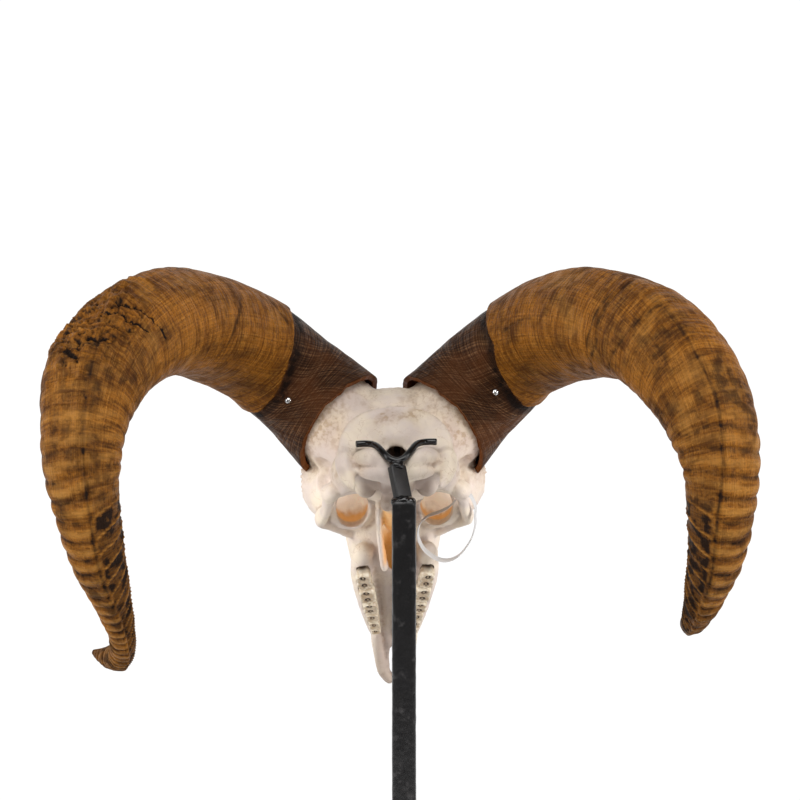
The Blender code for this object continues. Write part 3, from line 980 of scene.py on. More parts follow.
@dataclass
class HornSheath:
    """One hollow horn sheath, curling back, out and down from the brow to its tip."""

    side: Side
    stations: Rows
    keel: Rows
    step: Rows
    step_height: float
    tip_reach: float
    fuller: Rows
    grooves: tuple[tuple[Rows, float, float], ...]
    cracks: tuple[tuple[Rows, float, float], ...] = ()
    flake_drops: Rows = ((0.18, 1.7), (0.40, 1.5), (0.62, 1.6), (0.86, 1.6))
    patch_along: float = 281.0
    patch_degrees: float = 14.0
    ridge_marks: tuple[float, ...] = (-60, 0, 120, 250, 330, 420, 500, 560, 640, 700)
    ridge_spacing: tuple[float, ...] = (15, 15, 15, 14.5, 13.5, 12, 9.6, 6.6, 5.2, 5.2)
    rim_degrees: float = 32.0
    rim_flare: float = 4.6
    rim_reach: float = 8.5
    wall: float = 5.0
    lining_length: float = 92.0
    inner_ridges_start: float = 365.0
    sides: int = 24
    cage_rings: int = 58
    cage_levels: int = 3

    def __post_init__(self) -> None:
        """Reads the spine finely once."""
        rows = smooth_line(self.stations, 900)
        self.centres = rows[:, :3] + np.array(NECK_OPENING)
        self.deep, self.wide = rows[:, 3], rows[:, 4]
        self.axial = square_to(tangents_of(self.centres), (self.side.value, 0, 0))
        self.radial = self.side.value * np.cross(tangents_of(self.centres), self.axial)
        self.at = run_of(self.centres)
        self.length = float(self.at[-1])

    def read(self, table: np.ndarray, along: np.ndarray) -> np.ndarray:
        """Reads a table of the spine at distances along it.

        Args:
            table: One number or one row a step of the spine.
            along: Distances along the horn.

        Returns:
            What the table says there.
        """
        if table.ndim == 1:
            return np.interp(along, self.at, table)
        return np.stack([np.interp(along, self.at, table[:, k]) for k in range(table.shape[1])], axis=1)

    def keel_angle(self, along: np.ndarray) -> np.ndarray:
        """The angle of the outer keel at distances along the horn, in degrees."""
        rows = np.array(self.keel, float)
        return np.interp(along, rows[:, 0], rows[:, 1])

    def share(self, along: np.ndarray, degrees: np.ndarray) -> np.ndarray:
        """The cross-section's outline as a share of its ellipse: three edges with flats between.

        Args:
            along: Distances along the horn.
            degrees: Angles round it.

        Returns:
            The shares.
        """
        keel = self.keel_angle(along)
        total = 0.968 - 0.022 * rise(280.0, 360.0, along)
        for place, height, spread in ((keel, 0.075, 15.0), (-112.0, 0.04, 26.0), (155.0, 0.05, 20.0)):
            total += height * bell(turn_from(place, degrees), spread)
        for place, angle, height, spread, width in self.fuller:
            away = turn_from(angle, degrees)
            total += height * np.exp(-(((along - place) / spread) ** 2) - (away / width) ** 2)
        return total

    def step_place(self, degrees: np.ndarray) -> np.ndarray:
        """How far along the dark base segment ends, by the angle round the horn.

        Args:
            degrees: Angles round it.

        Returns:
            The distances along the horn.
        """
        rows = np.array(self.step, float)
        around = np.concatenate((rows[-1:] - (360, 0), rows, rows[:1] + (360, 0)))
        return np.interp(turn_from(0, degrees), around[:, 0], around[:, 1])

    def lining_share(self, depth: np.ndarray) -> np.ndarray:
        """How the hollow narrows with the depth from the mouth."""
        return 1 - 0.9 * (depth / self.lining_length) ** 4

    def ring_at(self, along: float, deep: float, wide: float, push: float = 0.0) -> Ring:
        """A ring across the spine.

        Args:
            along: Where, in millimetres from the mouth.
            deep: Half size out of the curl.
            wide: Half size across it.
            push: How far past the spine's end it is moved.

        Returns:
            The ring.
        """
        spot = np.array([along])
        centre, radial, axial = (self.read(t, spot)[0] for t in (self.centres, self.radial, self.axial))
        ahead = np.cross(radial, axial) * self.side.value
        first, second = Vector(radial), Vector(axial) * self.side.value
        return Ring(Vector(centre + ahead * push), first, second, deep, wide)

    def cage(self, grow: float = 0.0) -> tuple[list[Ring], list[float]]:
        """The rings of the sheath from its hollow's end, out of the mouth and on to the tip.

        Args:
            grow: How much larger than the sheath, for the room that it takes.

        Returns:
            The rings, and each one's profile place: below -wall in the hollow, above 0 outside.
        """
        rings, places = [], []
        for share in (1.0, 0.97, 0.9, 0.78, 0.62, 0.45, 0.28, 0.13, 0.0):
            depth = share * self.lining_length
            shrink = self.lining_share(depth) * (0.02 if share == 1.0 else 1.0)
            sizes = ((self.read(size, depth) - self.wall - grow) * shrink for size in (self.deep, self.wide))
            rings.append(self.ring_at(depth, *sizes))
            places.append(-self.wall - depth)
        for along in np.linspace(0.0, self.length, self.cage_rings):
            rings.append(self.ring_at(along, self.read(self.deep, along) + grow, self.read(self.wide, along) + grow))
            places.append(float(along))
        for k in range(1, 5):
            reach = math.sin(math.pi / 2 * k / 4.1)
            shrink = math.sqrt(1 - reach**2)
            push = self.tip_reach * reach
            rings.append(self.ring_at(self.length, self.deep[-1] * shrink, self.wide[-1] * shrink, push))
            places.append(self.length + push)
        return rings, places

    def outer_point(self, along: np.ndarray, degrees: np.ndarray, relief: np.ndarray) -> np.ndarray:
        """Points on the outer surface.

        Args:
            along: Distances along the spine; past its end they close the tip.
            degrees: Angles round it.
            relief: Heights above the plain surface.

        Returns:
            The points in millimetres.
        """
        inside = np.clip(along, 0.0, self.length)
        past = np.clip((along - self.length) / self.tip_reach, 0.0, 0.9999)
        shrink = np.sqrt(1 - past**2)
        share = self.share(inside, degrees) * shrink
        deep, wide = (self.read(size, inside) * share + relief * shrink for size in (self.deep, self.wide))
        return self.round_spine(inside, degrees, deep, wide, past * self.tip_reach)

    def round_spine(self, along: np.ndarray, degrees: np.ndarray, deep: np.ndarray, wide: np.ndarray,
                    past: np.ndarray | float = 0.0) -> np.ndarray:
        """Points round the spine.

        Args:
            along: Distances along the horn.
            degrees: Angles round it.
            deep: Half sizes out of the curl.
            wide: Half sizes across it.
            past: How far past the spine's end they are moved.

        Returns:
            The points in millimetres.
        """
        radial, axial = self.read(self.radial, along), self.read(self.axial, along)
        ahead = np.cross(radial, axial) * self.side.value
        angle = np.radians(degrees)
        return (self.read(self.centres, along) + ahead * np.atleast_1d(past)[:, None]
                + radial * (deep * np.cos(angle))[:, None] + axial * (wide * np.sin(angle))[:, None])

    def lining_point(self, depth: np.ndarray, degrees: np.ndarray) -> np.ndarray:
        """Points on the hollow's surface, by the depth from the mouth and the angle.

        Args:
            depth: Depths from the mouth.
            degrees: Angles round it.

        Returns:
            The points in millimetres.
        """
        share, shrink = self.share(depth, degrees), self.lining_share(depth)
        deep, wide = ((self.read(size, depth) * share - self.wall) * shrink for size in (self.deep, self.wide))
        return self.round_spine(depth, degrees, deep, wide)

    def nearness(self, along: np.ndarray, degrees: np.ndarray, path: Rows, width: float) -> np.ndarray:
        """How close points lie to a line drawn on the surface.

        Args:
            along: Distances along the horn.
            degrees: Angles round it.
            path: The line's corners as along, degrees.
            width: How wide the line counts, in millimetres.

        Returns:
            1 on the line, falling to 0 away from it.
        """
        inside = along.clip(0, self.length)
        per_degree = (self.read(self.deep, inside) + self.read(self.wide, inside)) / 2 * math.pi / 180
        best = np.full(len(along), 1e9)
        corners = np.array(path, float)
        for start, end in zip(corners, corners[1:]):
            run = np.stack([np.full(len(along), end[0] - start[0]), (end[1] - start[1]) * per_degree], axis=1)
            to = np.stack([along - start[0], turn_from(start[1], degrees) * per_degree], axis=1)
            t = np.clip((run * to).sum(axis=1) / np.maximum((run**2).sum(axis=1), 1e-9), 0, 1)
            best = np.minimum(best, ((to - run * t[:, None]) ** 2).sum(axis=1))
        return np.exp(-best / width**2)

    def growth_phase(self, along: np.ndarray, degrees: np.ndarray) -> np.ndarray:
        """Counts the growth ridges along the horn, which lean towards the base on the inner face.

        Args:
            along: Distances along the horn.
            degrees: Angles round it.

        Returns:
            The running count.
        """
        from_keel = turn_from(self.keel_angle(along), degrees)
        lean = 0.05 + 0.13 * rise(330.0, 500.0, along)
        inner = np.clip(-from_keel, 0, 105)
        back = np.clip((-from_keel - 105) / 75, 0, 1)
        shifted = along + lean * inner * (1 - back) - 1.5 * np.sin(np.radians(np.clip(from_keel, 0, 180) * 2))
        fine = np.linspace(self.ridge_marks[0], self.ridge_marks[-1], 800)
        spacing = np.interp(fine[1:], self.ridge_marks, self.ridge_spacing)
        count = np.concatenate(([0.0], np.cumsum(np.diff(fine) / spacing)))
        return np.interp(shifted, fine, count)

    def relief(self, along: np.ndarray, degrees: np.ndarray) -> dict[str, np.ndarray]:
        """Everything that stands above or below the plain surface, with the masks for its colour, which also hold
        painted shade and painted highlights.

        Args:
            along: Distances along the horn.
            degrees: Angles round it.

        Returns:
            The height in millimetres, and the masks base, dark, pale and crack.
        """
        angle = np.radians(degrees)
        girth = self.read(self.deep, along.clip(0, self.length))
        place = np.stack([girth * np.cos(angle), girth * np.sin(angle), along], axis=1) + 300.0 * self.side.value
        slow = rough(place, 34.0, 3)
        quick = rough(place * (1.0, 1.0, 0.6), 9.0, 2)
        flutes = rough(place * (1.0, 1.0, 0.06), 3.2, 1)
        from_keel = turn_from(self.keel_angle(along), degrees)
        height = 0.9 * slow + 0.22 * quick * rise(60, 200, along)
        height += 0.14 * flutes * rise(100, 330, along)

        step = self.step_place(degrees) + 1.2 * rough(place, 12.0, 1)
        base = 1 - rise(-0.7, 0.7, along - step)
        lip = bell(along - step, 9.0) * (along > step)
        height -= base * self.step_height * (0.35 + 0.65 * rise(0, 75, along))
        height += 0.5 * lip

        count = self.growth_phase(along, degrees) + 0.22 * slow
        wave = np.abs(np.sin(np.pi * count))
        index = np.floor(count)
        uneven = np.array([noise.noise(Vector((i * 3.7, self.side.value * 9.0, 0.5))) for i in index])
        marks = (0.0, 90.0, 220.0, 330.0, 400.0, 520.0, self.length - 25.0, self.length + 5.0)
        strength = np.interp(along, marks, (0.0, 0.1, 0.3, 0.9, 1.7, 1.9, 1.2, 0.0)) * (1 + 0.9 * uneven)
        inner = rise(2, 16, -from_keel) * (1 - rise(100, 125, -from_keel))
        inner = inner * rise(self.inner_ridges_start, self.inner_ridges_start + 45, along)
        ridged = (wave**0.7 - 0.65) * (1 - inner) + (0.45 - wave**0.55) * inner * 0.9
        height += strength * ridged
        valley = bell(wave, 0.42) * (1 - inner) + rise(0.35, 0.7, wave) * inner * 1.1
        valley *= rise(250, 420, along) * (0.75 + 0.5 * uneven)

        keel_line = bell((from_keel + 2.0) * girth * math.pi / 180, 1.3)
        keel_line *= rise(225, 300, along) * (1 - rise(440, 500, along))
        height -= 0.7 * keel_line
        # Painted shade in the valleys between the growth ridges; darker along the keel line and the grooves.
        shades = [0.78 * valley + 0.6 * keel_line]
        for path, width, depth in self.grooves:
            near = self.nearness(along, degrees, path, width)
            height -= depth * near
            shades.append(0.5 * near)

        blotch = rise(0.0, 0.55, rough(place * (1.0, 1.0, 0.8), 26.0, 2) + 0.15 * quick)
        # Weathered blotches, painted shade over the inner face between its raised lines, a darker tip and a darker band
        # just below the step.
        shades += [0.42 * blotch * rise(200, 330, along), 0.82 * inner * (1 - bell(wave, 0.24)),
                   0.45 * rise(self.length - 75, self.length - 45, along), 0.8 * bell(along - step + 6.5, 6.0) * base]
        dark = np.max(shades, axis=0)
        # Painted highlights on the ridge crests and on the inner face's raised lines, and pale patches at random.
        pale = rise(0.72, 1.0, wave) * rise(280, 420, along) * (1 - inner) * 0.75
        pale += inner * bell(wave, 0.16) * 0.8
        pale += 0.35 * rise(0.2, 0.7, -slow) * rise(60, 140, along)
        crack = np.zeros(len(along))
        if self.cracks:
            height, crack, dark = self.broken_patch(along, degrees, place, height, dark)
        return {"height": height, "base": base, "dark": dark, "pale": pale, "crack": crack}

    def broken_patch(self, along: np.ndarray, degrees: np.ndarray, place: np.ndarray, height: np.ndarray,
                     dark: np.ndarray) -> tuple[np.ndarray, np.ndarray, np.ndarray]:
        """Flaked horn in steps round the outer bend, with open cracks across it and painted shadow at the flake edges
        and in the crust's low spots.

        Args:
            along: Distances along the horn.
            degrees: Angles round it.
            place: The noise places of the points.
            height: The heights so far.
            dark: The dark mask so far.

        Returns:
            The new heights, the crack mask and the new dark mask.
        """
        ragged = rough(place * (1.0, 1.0, 1.4), 10.0, 4)
        reach = np.hypot((along - self.patch_along) / 31.0, turn_from(self.patch_degrees, degrees) / 50.0)
        deep_inside = 1.15 - reach + 0.5 * ragged
        flakes = -2.2 * rise(-0.35, 0.15, deep_inside)
        for level, drop in self.flake_drops:
            flakes += drop * rise(level - 0.025, level + 0.025, deep_inside)
        crust = rough(place * (1.0, 1.0, 1.6), 4.6, 4) * rise(0.1, 0.4, deep_inside)
        height = height - flakes + 1.6 * crust
        crack = np.zeros(len(along))
        for path, width, depth in self.cracks:
            near = self.nearness(along + 1.6 * rough(place, 7.0, 2), degrees, path, width)
            height = height - depth * near
            crack = np.maximum(crack, rise(0.25, 0.8, near))
        edge = sum(bell(deep_inside - level - 0.03, 0.05) for level, _ in self.flake_drops)
        # Painted shadow along the flake edges and in the crust's low spots.
        dark = np.max([dark, 0.75 * edge * rise(-0.5, 0.4, ragged), 0.75 * rise(0.05, 0.5, -crust)], axis=0)
        return height, crack, dark

    def sculpt(self, thing: Piece, rings: Sequence[Ring], places: Sequence[float]) -> None:
        """Subdivides the cage and moves every point to its place on the real surface.

        Args:
            thing: The cage.
            rings: The cage's rings.
            places: Each ring's profile place.
        """
        mesh = thing.data
        angles = [math.tau * k / self.sides for k in range(self.sides)]
        lookup = finder([ring.corner(a) for ring in rings for a in angles])
        nearest = np.array([lookup.find(v.co / MM)[1] for v in mesh.vertices])
        row, corner = nearest // self.sides, nearest % self.sides
        uv = mesh.uv_layers.new(name="horn_map").uv
        for polygon in mesh.polygons:
            turns = [corner[v] for v in polygon.vertices]
            wraps = len(turns) == 4 and max(turns) - min(turns) > self.sides / 2
            for loop, vertex in zip(polygon.loop_indices, polygon.vertices):
                turn = corner[vertex] + (self.sides if wraps and corner[vertex] == 0 else 0)
                uv[loop].vector = (turn / self.sides, row[vertex])
        finish_modifier(thing, "SUBSURF", levels=self.cage_levels, render_levels=self.cage_levels, uv_smooth="NONE")
        mesh = thing.data
        flat = np.empty(len(mesh.loops) * 2)
        mesh.uv_layers["horn_map"].uv.foreach_get("vector", flat)
        owner = np.empty(len(mesh.loops), int)
        mesh.loops.foreach_get("vertex_index", owner)
        read = np.zeros((len(mesh.vertices), 2))
        read[owner] = flat.reshape(-1, 2)
        degrees = turn_from(0, 360.0 * read[:, 0] * self.side.value)
        profile = np.interp(read[:, 1], np.arange(len(places)), places)
        outside = np.maximum(profile, 0.0)
        inside = outside.clip(0, self.length)
        found = self.relief(outside, degrees)
        ragged = rough(np.stack([degrees, degrees * 0, profile * 0], axis=1), 14.0, 3)
        lip = rise(12.0, 0.0, profile) * (profile > -self.wall - 12)
        outer = self.outer_point(outside, degrees, found["height"])
        lining = self.lining_point(np.clip(-profile - self.wall, 0.0, self.lining_length * 0.999), degrees)
        mix = rise(-self.wall, 0.0, profile)[:, None]
        points = np.where((profile >= 0)[:, None], outer, np.where((profile <= -self.wall)[:, None], lining,
                                                                   outer * mix + lining * (1 - mix)))
        ahead = self.read(tangents_of(self.centres), inside)
        points += ahead * (lip * ragged * 1.1)[:, None]
        reach = bell(degrees - self.rim_degrees, 60.0) * (profile > -self.wall - 25)
        reach *= rise(38.0, 0.0, np.where(profile < 0, -profile * 1.5, profile))
        away = points - self.read(self.centres, inside)
        away /= np.maximum(np.linalg.norm(away, axis=1, keepdims=True), 1e-6)
        points += (away * self.rim_flare - ahead * self.rim_reach) * reach[:, None]
        cap = read[:, 1] >= len(places) - 1 - 1e-4
        points[cap] = places_of(thing)[cap]
        place_points(thing, points)
        write_masks(thing, "horn_masks", *(found[mask] for mask in ("base", "dark", "pale", "crack")))
        angle = np.radians(degrees)
        around = np.stack([0.04 * np.cos(angle), 0.04 * np.sin(angle), profile * MM], axis=1)
        write_layer(thing, "horn_place", "FLOAT_VECTOR", "vector", around)
        write_layer(thing, "horn_inside", "FLOAT", "value", rise(0.5, -1.5, profile))

    def room(self, grow: float) -> Piece:
        """The room that the sheath's wall takes near its mouth, kept free of bone.

        Args:
            grow: The clearance round the wall.

        Returns:
            A closed cutter.
        """
        rings, places = self.cage(grow)
        picked = [ring for ring, place in zip(rings, places) if place < self.lining_length + 30]
        return sweep(f"{self.side.word}_sheath_room", picked, self.sides)

    def build(self, finish: HornFinish) -> None:
        """Builds the sheath and dresses it in its finish.

        Args:
            finish: The finish.
        """
        rings, places = self.cage()
        thing = sweep(f"{self.side.word}_horn", rings, self.sides)
        self.sculpt(thing, rings, places)
        name = f"{self.side.word}_horn_sheath"
        hand_in(thing, finish.material(name + "_finish"), 180.0, "horn", name)


LEFT_STATIONS = (
    (-43.5, 82, 28.6, 48, 42), (-77.5, 84, 58.5, 45, 40.5), (-104.5, 64, 81, 41, 39), (-130, 28, 94, 39.5, 38),
    (-155, -15, 98.5, 38, 37), (-177, -56, 91, 37, 36.5), (-196, -92, 75, 36.5, 36), (-208.5, -118, 52, 35, 34.5),
    (-212.3, -133, 27, 32, 30.5), (-212.8, -140, -1, 28.5, 27.3), (-208.3, -136, -34, 24.5, 23),
    (-203.4, -120, -64, 20.8, 19.4), (-196.3, -96, -91, 16, 14.3), (-191.8, -66, -115, 11.8, 9.8),
    (-193.0, -36, -131.5, 10.4, 9.6), (-199, -8, -140, 9.6, 9), (-208, 8, -140.5, 6.8, 6.4),
    (-218, 20, -138, 2.2, 2.0),
)
RIGHT_STATIONS = (
    (35, 82, 27.5, 48, 43.5), (66, 84, 57, 45, 41), (90, 64, 80.5, 41, 39), (115.5, 28, 94, 40, 38.5),
    (143, -15, 98, 39, 38), (169, -56, 91, 37, 37), (191, -92, 73, 36.5, 36.5), (207, -118, 48, 34, 34),
    (216.5, -131, 21, 31, 30.5), (220, -136, -6, 27.5, 27), (219.1, -131, -37, 24, 23),
    (216.9, -115, -66, 20.5, 19.3), (211.8, -92, -90, 15.6, 14.3), (208.1, -66, -106, 11.4, 10),
    (206.4, -42, -114, 8.5, 7.8),
)
LEFT_SHEATH = dict(
    side=Side.LEFT, stations=LEFT_STATIONS, step_height=1.5, tip_reach=3.0,
    fuller=((62, -95, 0.045, 35, 40), (228, 0, 0.06, 28, 35)),
    keel=((0, 8), (260, 5), (304, -7), (352, -6), (380, -8), (403, -8), (433, -9), (475, -14), (508, -20),
          (608, -32)),
    step=((-165, 71), (-125, 85), (-93, 88), (-49, 83), (0, 78), (60, 72), (120, 64), (159, 62)),
    grooves=((((92, -88), (100, -70), (108, -55)), 1.5, 0.5), (((150, -60), (165, -95), (175, -130)), 1.8, 0.4),
             (((294, -6), (305, -4), (314, -3), (326, -5), (352, -5), (384, -12)), 2.2, 1.2)),
    cracks=(
        (((265, -2), (266, -9), (264, -22), (262, -35), (259, -47)), 1.3, 2.4),
        (((277, 9), (276, 0), (273, -17), (276, -24), (273, -35), (269, -51)), 1.4, 2.6),
        (((299, 7), (298, -4), (296, -16)), 1.6, 2.0),
        (((307, 30), (313, 12)), 2.0, 1.6),
        (((262, -40), (258, -60), (256, -75)), 1.0, 0.8),
    ),
)
RIGHT_SHEATH = dict(
    side=Side.RIGHT, stations=RIGHT_STATIONS, step_height=2.4, tip_reach=8.0,
    fuller=((62, -92, 0.10, 40, 42), (248, 2, 0.075, 34, 35)),
    keel=((0, -15), (232, -12), (298, -5), (333, 3), (371, -2), (396, -9), (422, -10), (527, -15)),
    step=((-161, 84), (-108, 104), (-47, 85), (0, 80), (60, 74), (120, 68), (163, 70)),
    grooves=(
        (((241, -124), (259, -74), (263, -39), (266, -11)), 1.6, 0.9),
        (((194, -163), (230, -97), (229, -60), (232, -12)), 1.8, 0.8),
        (((215, -120), (222, -80), (226, -30)), 1.2, 0.4),
        (((120, -95), (135, -88), (150, -86)), 1.2, 0.4),
    ),
)


# Skull

ASIDE, AHEAD, UP = 0, 1, 2
Zone = tuple[tuple[int, float, float], ...]


@dataclass
class Skull:
    """The skull: a fused mass of bone with its hollows, then the slender bones that stand free.

    A zone's rows are an axis, where the zone starts along it and where it is full.
    """

    voxel: float = 1.25
    most_triangles: int = 190000
    core_room: float = 1.6
    # The zones back, crest and ear hold stains; throat and socket hold the painted glow and light; brain_case,
    # skull_base and palate hold the painted shade.
    back: Zone = ((UP, 30, 52), (AHEAD, 40, 10))
    crest: Zone = ((UP, 28, 36), (UP, 52, 44), (ASIDE, 38, 26), (AHEAD, 14, 4))
    ear: Zone = ((AHEAD, 8, 22), (AHEAD, 40, 28), (ASIDE, 30, 38), (UP, -6, 6))
    throat: Zone = ((ASIDE, 11, 8), (AHEAD, 45, 60), (AHEAD, 190, 178))
    socket: Zone = ((ASIDE, 16, 20), (ASIDE, 50, 46), (AHEAD, 66, 74), (AHEAD, 120, 114), (UP, 17, 19.5), (UP, 56, 50))
    brain_case: Zone = ((AHEAD, 6, 12), (AHEAD, 78, 70))
    skull_base: Zone = ((AHEAD, 2, 10), (AHEAD, 60, 45), (UP, 4, -6), (ASIDE, 30, 22))
    palate: Zone = ((AHEAD, 112, 128), (UP, -5, -12), (ASIDE, 17, 12))

    @staticmethod
    def lump(centre: Sequence[float], radii: Sequence[float], side: int = 1) -> Piece:
        """A swelling of bone.

        Args:
            centre: Its middle in the skull's frame.
            radii: Its half sizes there.
            side: The side that it is mirrored to.

        Returns:
            The object.
        """
        spot = SKULL_FRAME @ Vector((centre[0] * side, centre[1], centre[2]))
        return begin("bone_lump", bpy.ops.mesh.primitive_ico_sphere_add, subdivisions=4, radius=1.0,
                     location=spot * MM, rotation=SKULL_FRAME.to_euler(), scale=tuple(r * MM for r in radii))

    @staticmethod
    def bar(stations: Rows, side: int = 1, sections: int = 13, sides: int = 16, local: Matrix = SKULL_FRAME,
            round_ends: bool = True) -> Piece:
        """A rounded bar through x, v, w, half thickness sideways and half thickness upright.

        Args:
            stations: The given rows.
            side: The side that it is mirrored to.
            sections: How many rings it has.
            sides: How many corners each ring has.
            local: The frame that the rows are in.
            round_ends: Whether its ends are domed.

        Returns:
            The object.
        """
        rows = smooth_line([(s[0] * side, *s[1:]) for s in stations], sections)
        tangents = tangents_of(rows[:, :3])
        reference = (0, 0.001, 1) if abs(tangents[:, 2]).max() < 0.9 else (0, 1, 0.001)
        upright = square_to(tangents, reference)
        across = np.cross(upright, tangents)
        turn = local.to_3x3()
        rings = [
            Ring(local @ Vector(row[:3]), turn @ Vector(a), turn @ Vector(u), float(row[3]), float(row[4]))
            for row, a, u in zip(rows, across, upright)
        ]
        return sweep("bone_bar", with_round_ends(rings) if round_ends else rings, sides)

    @staticmethod
    def plate(outline: Rows, near: float, far: float) -> Piece:
        """An (x, w) outline made solid from v = near to v = far.

        Args:
            outline: The corners in order.
            near: Where the plate starts.
            far: Where it ends.

        Returns:
            The object.
        """
        thing = begin("bone_plate", bpy.ops.mesh.primitive_circle_add, vertices=len(outline), radius=MM,
                      fill_type="NGON")
        for vertex, (x, w) in zip(thing.data.vertices, outline):
            vertex.co = (SKULL_FRAME @ Vector((x, near, w))) * MM
        with editing(thing):
            bpy.ops.mesh.extrude_region_move()
            bpy.ops.transform.translate(value=SKULL_FRAME.to_3x3() @ Vector((0, far - near, 0)) * MM)
            face_outwards()
        return thing

    def broad_bones(self, horns: Sequence[HornSheath]) -> Piece:
        """The solid mass of the skull before its hollows are cut.

        Args:
            horns: The sheaths, whose cores are part of it.

        Returns:
            The joined forms.
        """
        half = [(0, 51), (12, 50), (22, 47), (31, 41), (37, 33), (41, 22), (42, 10), (40, -2), (33, -5), (15, -10)]
        parts = [
            self.lump((0, 42, 31), (39, 44, 33)),
            self.lump((0, 50, 60), (50, 33, 32)),
            self.lump((0, 88, 52), (44, 34, 30)),
            self.plate(half + [(-x, w) for x, w in reversed(half[1:])], 4, 24),
            self.bar(((0, 80, 55, 38, 29), (0, 104, 44, 38, 34), (0, 122, 33.5, 37, 37.5), (0, 140, 26, 35.5, 37),
                      (0, 155, 21, 32.5, 34), (0, 170, 16.5, 29, 30.5), (0, 185, 11, 24, 27), (0, 200, 3.5, 19.5, 23.5),
                      (0, 214, -6.5, 17, 18.5), (0, 230, -19, 14.5, 11), (0, 244, -29.5, 10, 5.5),
                      (0, 249, -32, 4, 3)), sections=24, sides=28, round_ends=False),
        ]
        for side in (-1, 1):
            parts += [
                self.bar(((28, 90, 40, 34, 34), (44, 93, 41, 29, 29), (54, 95, 44, 23, 22), (61, 96, 46.5, 18.5, 16.5),
                          (66, 97, 47.5, 15.5, 13.5)), side, sides=24),
                self.lump((42, 74, 58), (23, 22, 18), side),
                self.lump((34, 34, 12), (13, 22, 16), side),
                self.bar(((24, 114, -4, 8, 8), (25, 130, -8, 8, 8), (21, 165, -11, 7.5, 8), (15, 202, -16, 5, 6)),
                         side),
            ]
        parts += [self.horn_core(horn) for horn in horns]
        return join("skull_mass", parts)

    def horn_core(self, horn: HornSheath) -> Piece:
        """The bony core that carries a sheath, from the brow into the sheath's hollow.

        Args:
            horn: The sheath.

        Returns:
            The core.
        """
        origin = np.array(NECK_OPENING)
        spots = [origin + np.array(row[:3], float) for row in horn.stations[:3]]
        root = SKULL_FRAME @ Vector((16 * horn.side.value, 56, 52))
        rows = (
            (*root, 38, 36),
            (*spots[0], 40, 35),
            (*(spots[0] * 0.3 + spots[1] * 0.7), 36, 32),
            (*(spots[1] * 0.75 + spots[2] * 0.25), 24, 23),
        )
        return self.bar(rows, sections=12, sides=24, local=Matrix.Identity(4))

    def hollows(self) -> Piece:
        """The brain case, eye sockets, fossae, nose, throat and palate, as one cutter.

        Returns:
            The joined cutter.
        """
        parts = [
            self.bar(((0, -25, 3, 9, 11), (0, 0, 1, 9, 11), (0, 22, 12, 13, 15), (0, 45, 30, 26, 24),
                      (0, 66, 34, 20, 18))),
            self.bar(((0, 45, -16, 8, 8), (0, 80, -10, 8, 11), (0, 108, -3, 8, 11), (0, 140, 7, 12, 12),
                      (0, 170, 11, 15, 15), (0, 195, 5, 14, 15), (0, 216, -1, 12.5, 16), (0, 236, -11, 10, 16),
                      (0, 262, -16, 6, 16)), sections=20),
            self.bar(((0, 112, -27, 16, 18), (0, 150, -27.2, 16, 17.7), (0, 180, -28.7, 13, 16.2),
                      (0, 203, -31.5, 8, 13.5)), sections=10, sides=20),
            self.bar(((0, 218, -26, 3, 14), (0, 230, -30, 4, 14), (0, 240, -34, 3.2, 14)), sections=7),
        ]
        for side in (-1, 1):
            parts += [
                self.bar(((20, 86, 30, 9, 9), (40, 92, 39, 15, 15), (54, 95, 44, 15.5, 14), (80, 100, 50, 15.5, 14)),
                         side, sides=20),
                self.bar(((31, 34, -20.5, 12, 14.5), (31, 64, 1.5, 12, 15.5), (31, 86, 17.5, 12, 15.5),
                          (32, 98, 28, 11, 13)), side),
                self.lump((54, 58, 24), (14, 16, 17), side),
            ]
        return join("skull_hollows", parts)

    def slender_bones(self) -> Piece:
        """Bars, rims, processes and plates that stand free of the mass.

        Returns:
            The joined forms.
        """
        parts = [
            self.bar(((0, -1, -13, 13, 5), (0, 30, -9, 11, 6), (0, 60, -2, 9, 6), (0, 92, 7, 8, 7))),
            self.bar(((0, 150, 56, 12, 4), (0, 185, 39, 10, 3.5), (0, 205, 26, 7, 3), (0, 219, 15, 3, 2))),
        ]
        for side in (-1, 1):
            parts += [
                self.bar(((26, 2, 5, 5, 5), (19, -3, 1, 8, 7), (8, -4, -7, 5.5, 5)), side, sections=9),
                self.bar(((23, 4, -7, 4, 4), (14, 0, -11, 7, 4.5), (5, -2, -13.5, 4, 3.5)), side, sections=9),
                self.lump((15, 6, -2), (11, 8, 7), side),
                self.lump((8, 12, -14), (5, 6, 5), side),
                self.lump((7, 32, -14), (5, 8, 6), side),
                self.bar(((37, 9, 8, 7, 8), (36, 7, -6, 6, 4.5), (31.5, 4, -20, 2, 2)), side),
                self.lump((22, 26, -4), (8, 11, 7), side),
                self.bar(((26, 36, 4, 9, 5), (40, 40, 4, 8, 5), (49, 43, 2, 6, 7.5)), side, sections=7),
                self.bar(((46, 40, 2, 6, 7), (49, 55, 3, 4.5, 5.5), (50.5, 68, 4, 4, 5.5), (53, 82, 8.5, 4.5, 6.5),
                          (54, 94, 13, 5, 7), (46, 105, 18, 6, 7.5), (33, 117, 20, 6, 9)), side, sections=17),
                self.bar(((12, 56, 0, 2.4, 6), (12, 84, -1, 2.4, 8), (10, 104, -9, 2.4, 8), (8, 118, -14, 3, 6)), side),
                self.bar(((14, 205, -21, 4, 4), (11.5, 224, -28, 3.8, 3), (8.5, 240, -33.5, 3.8, 2.6),
                          (3, 248, -35.5, 4, 2.6)), side, sections=11),
            ]
        return join("slender_bones", parts)

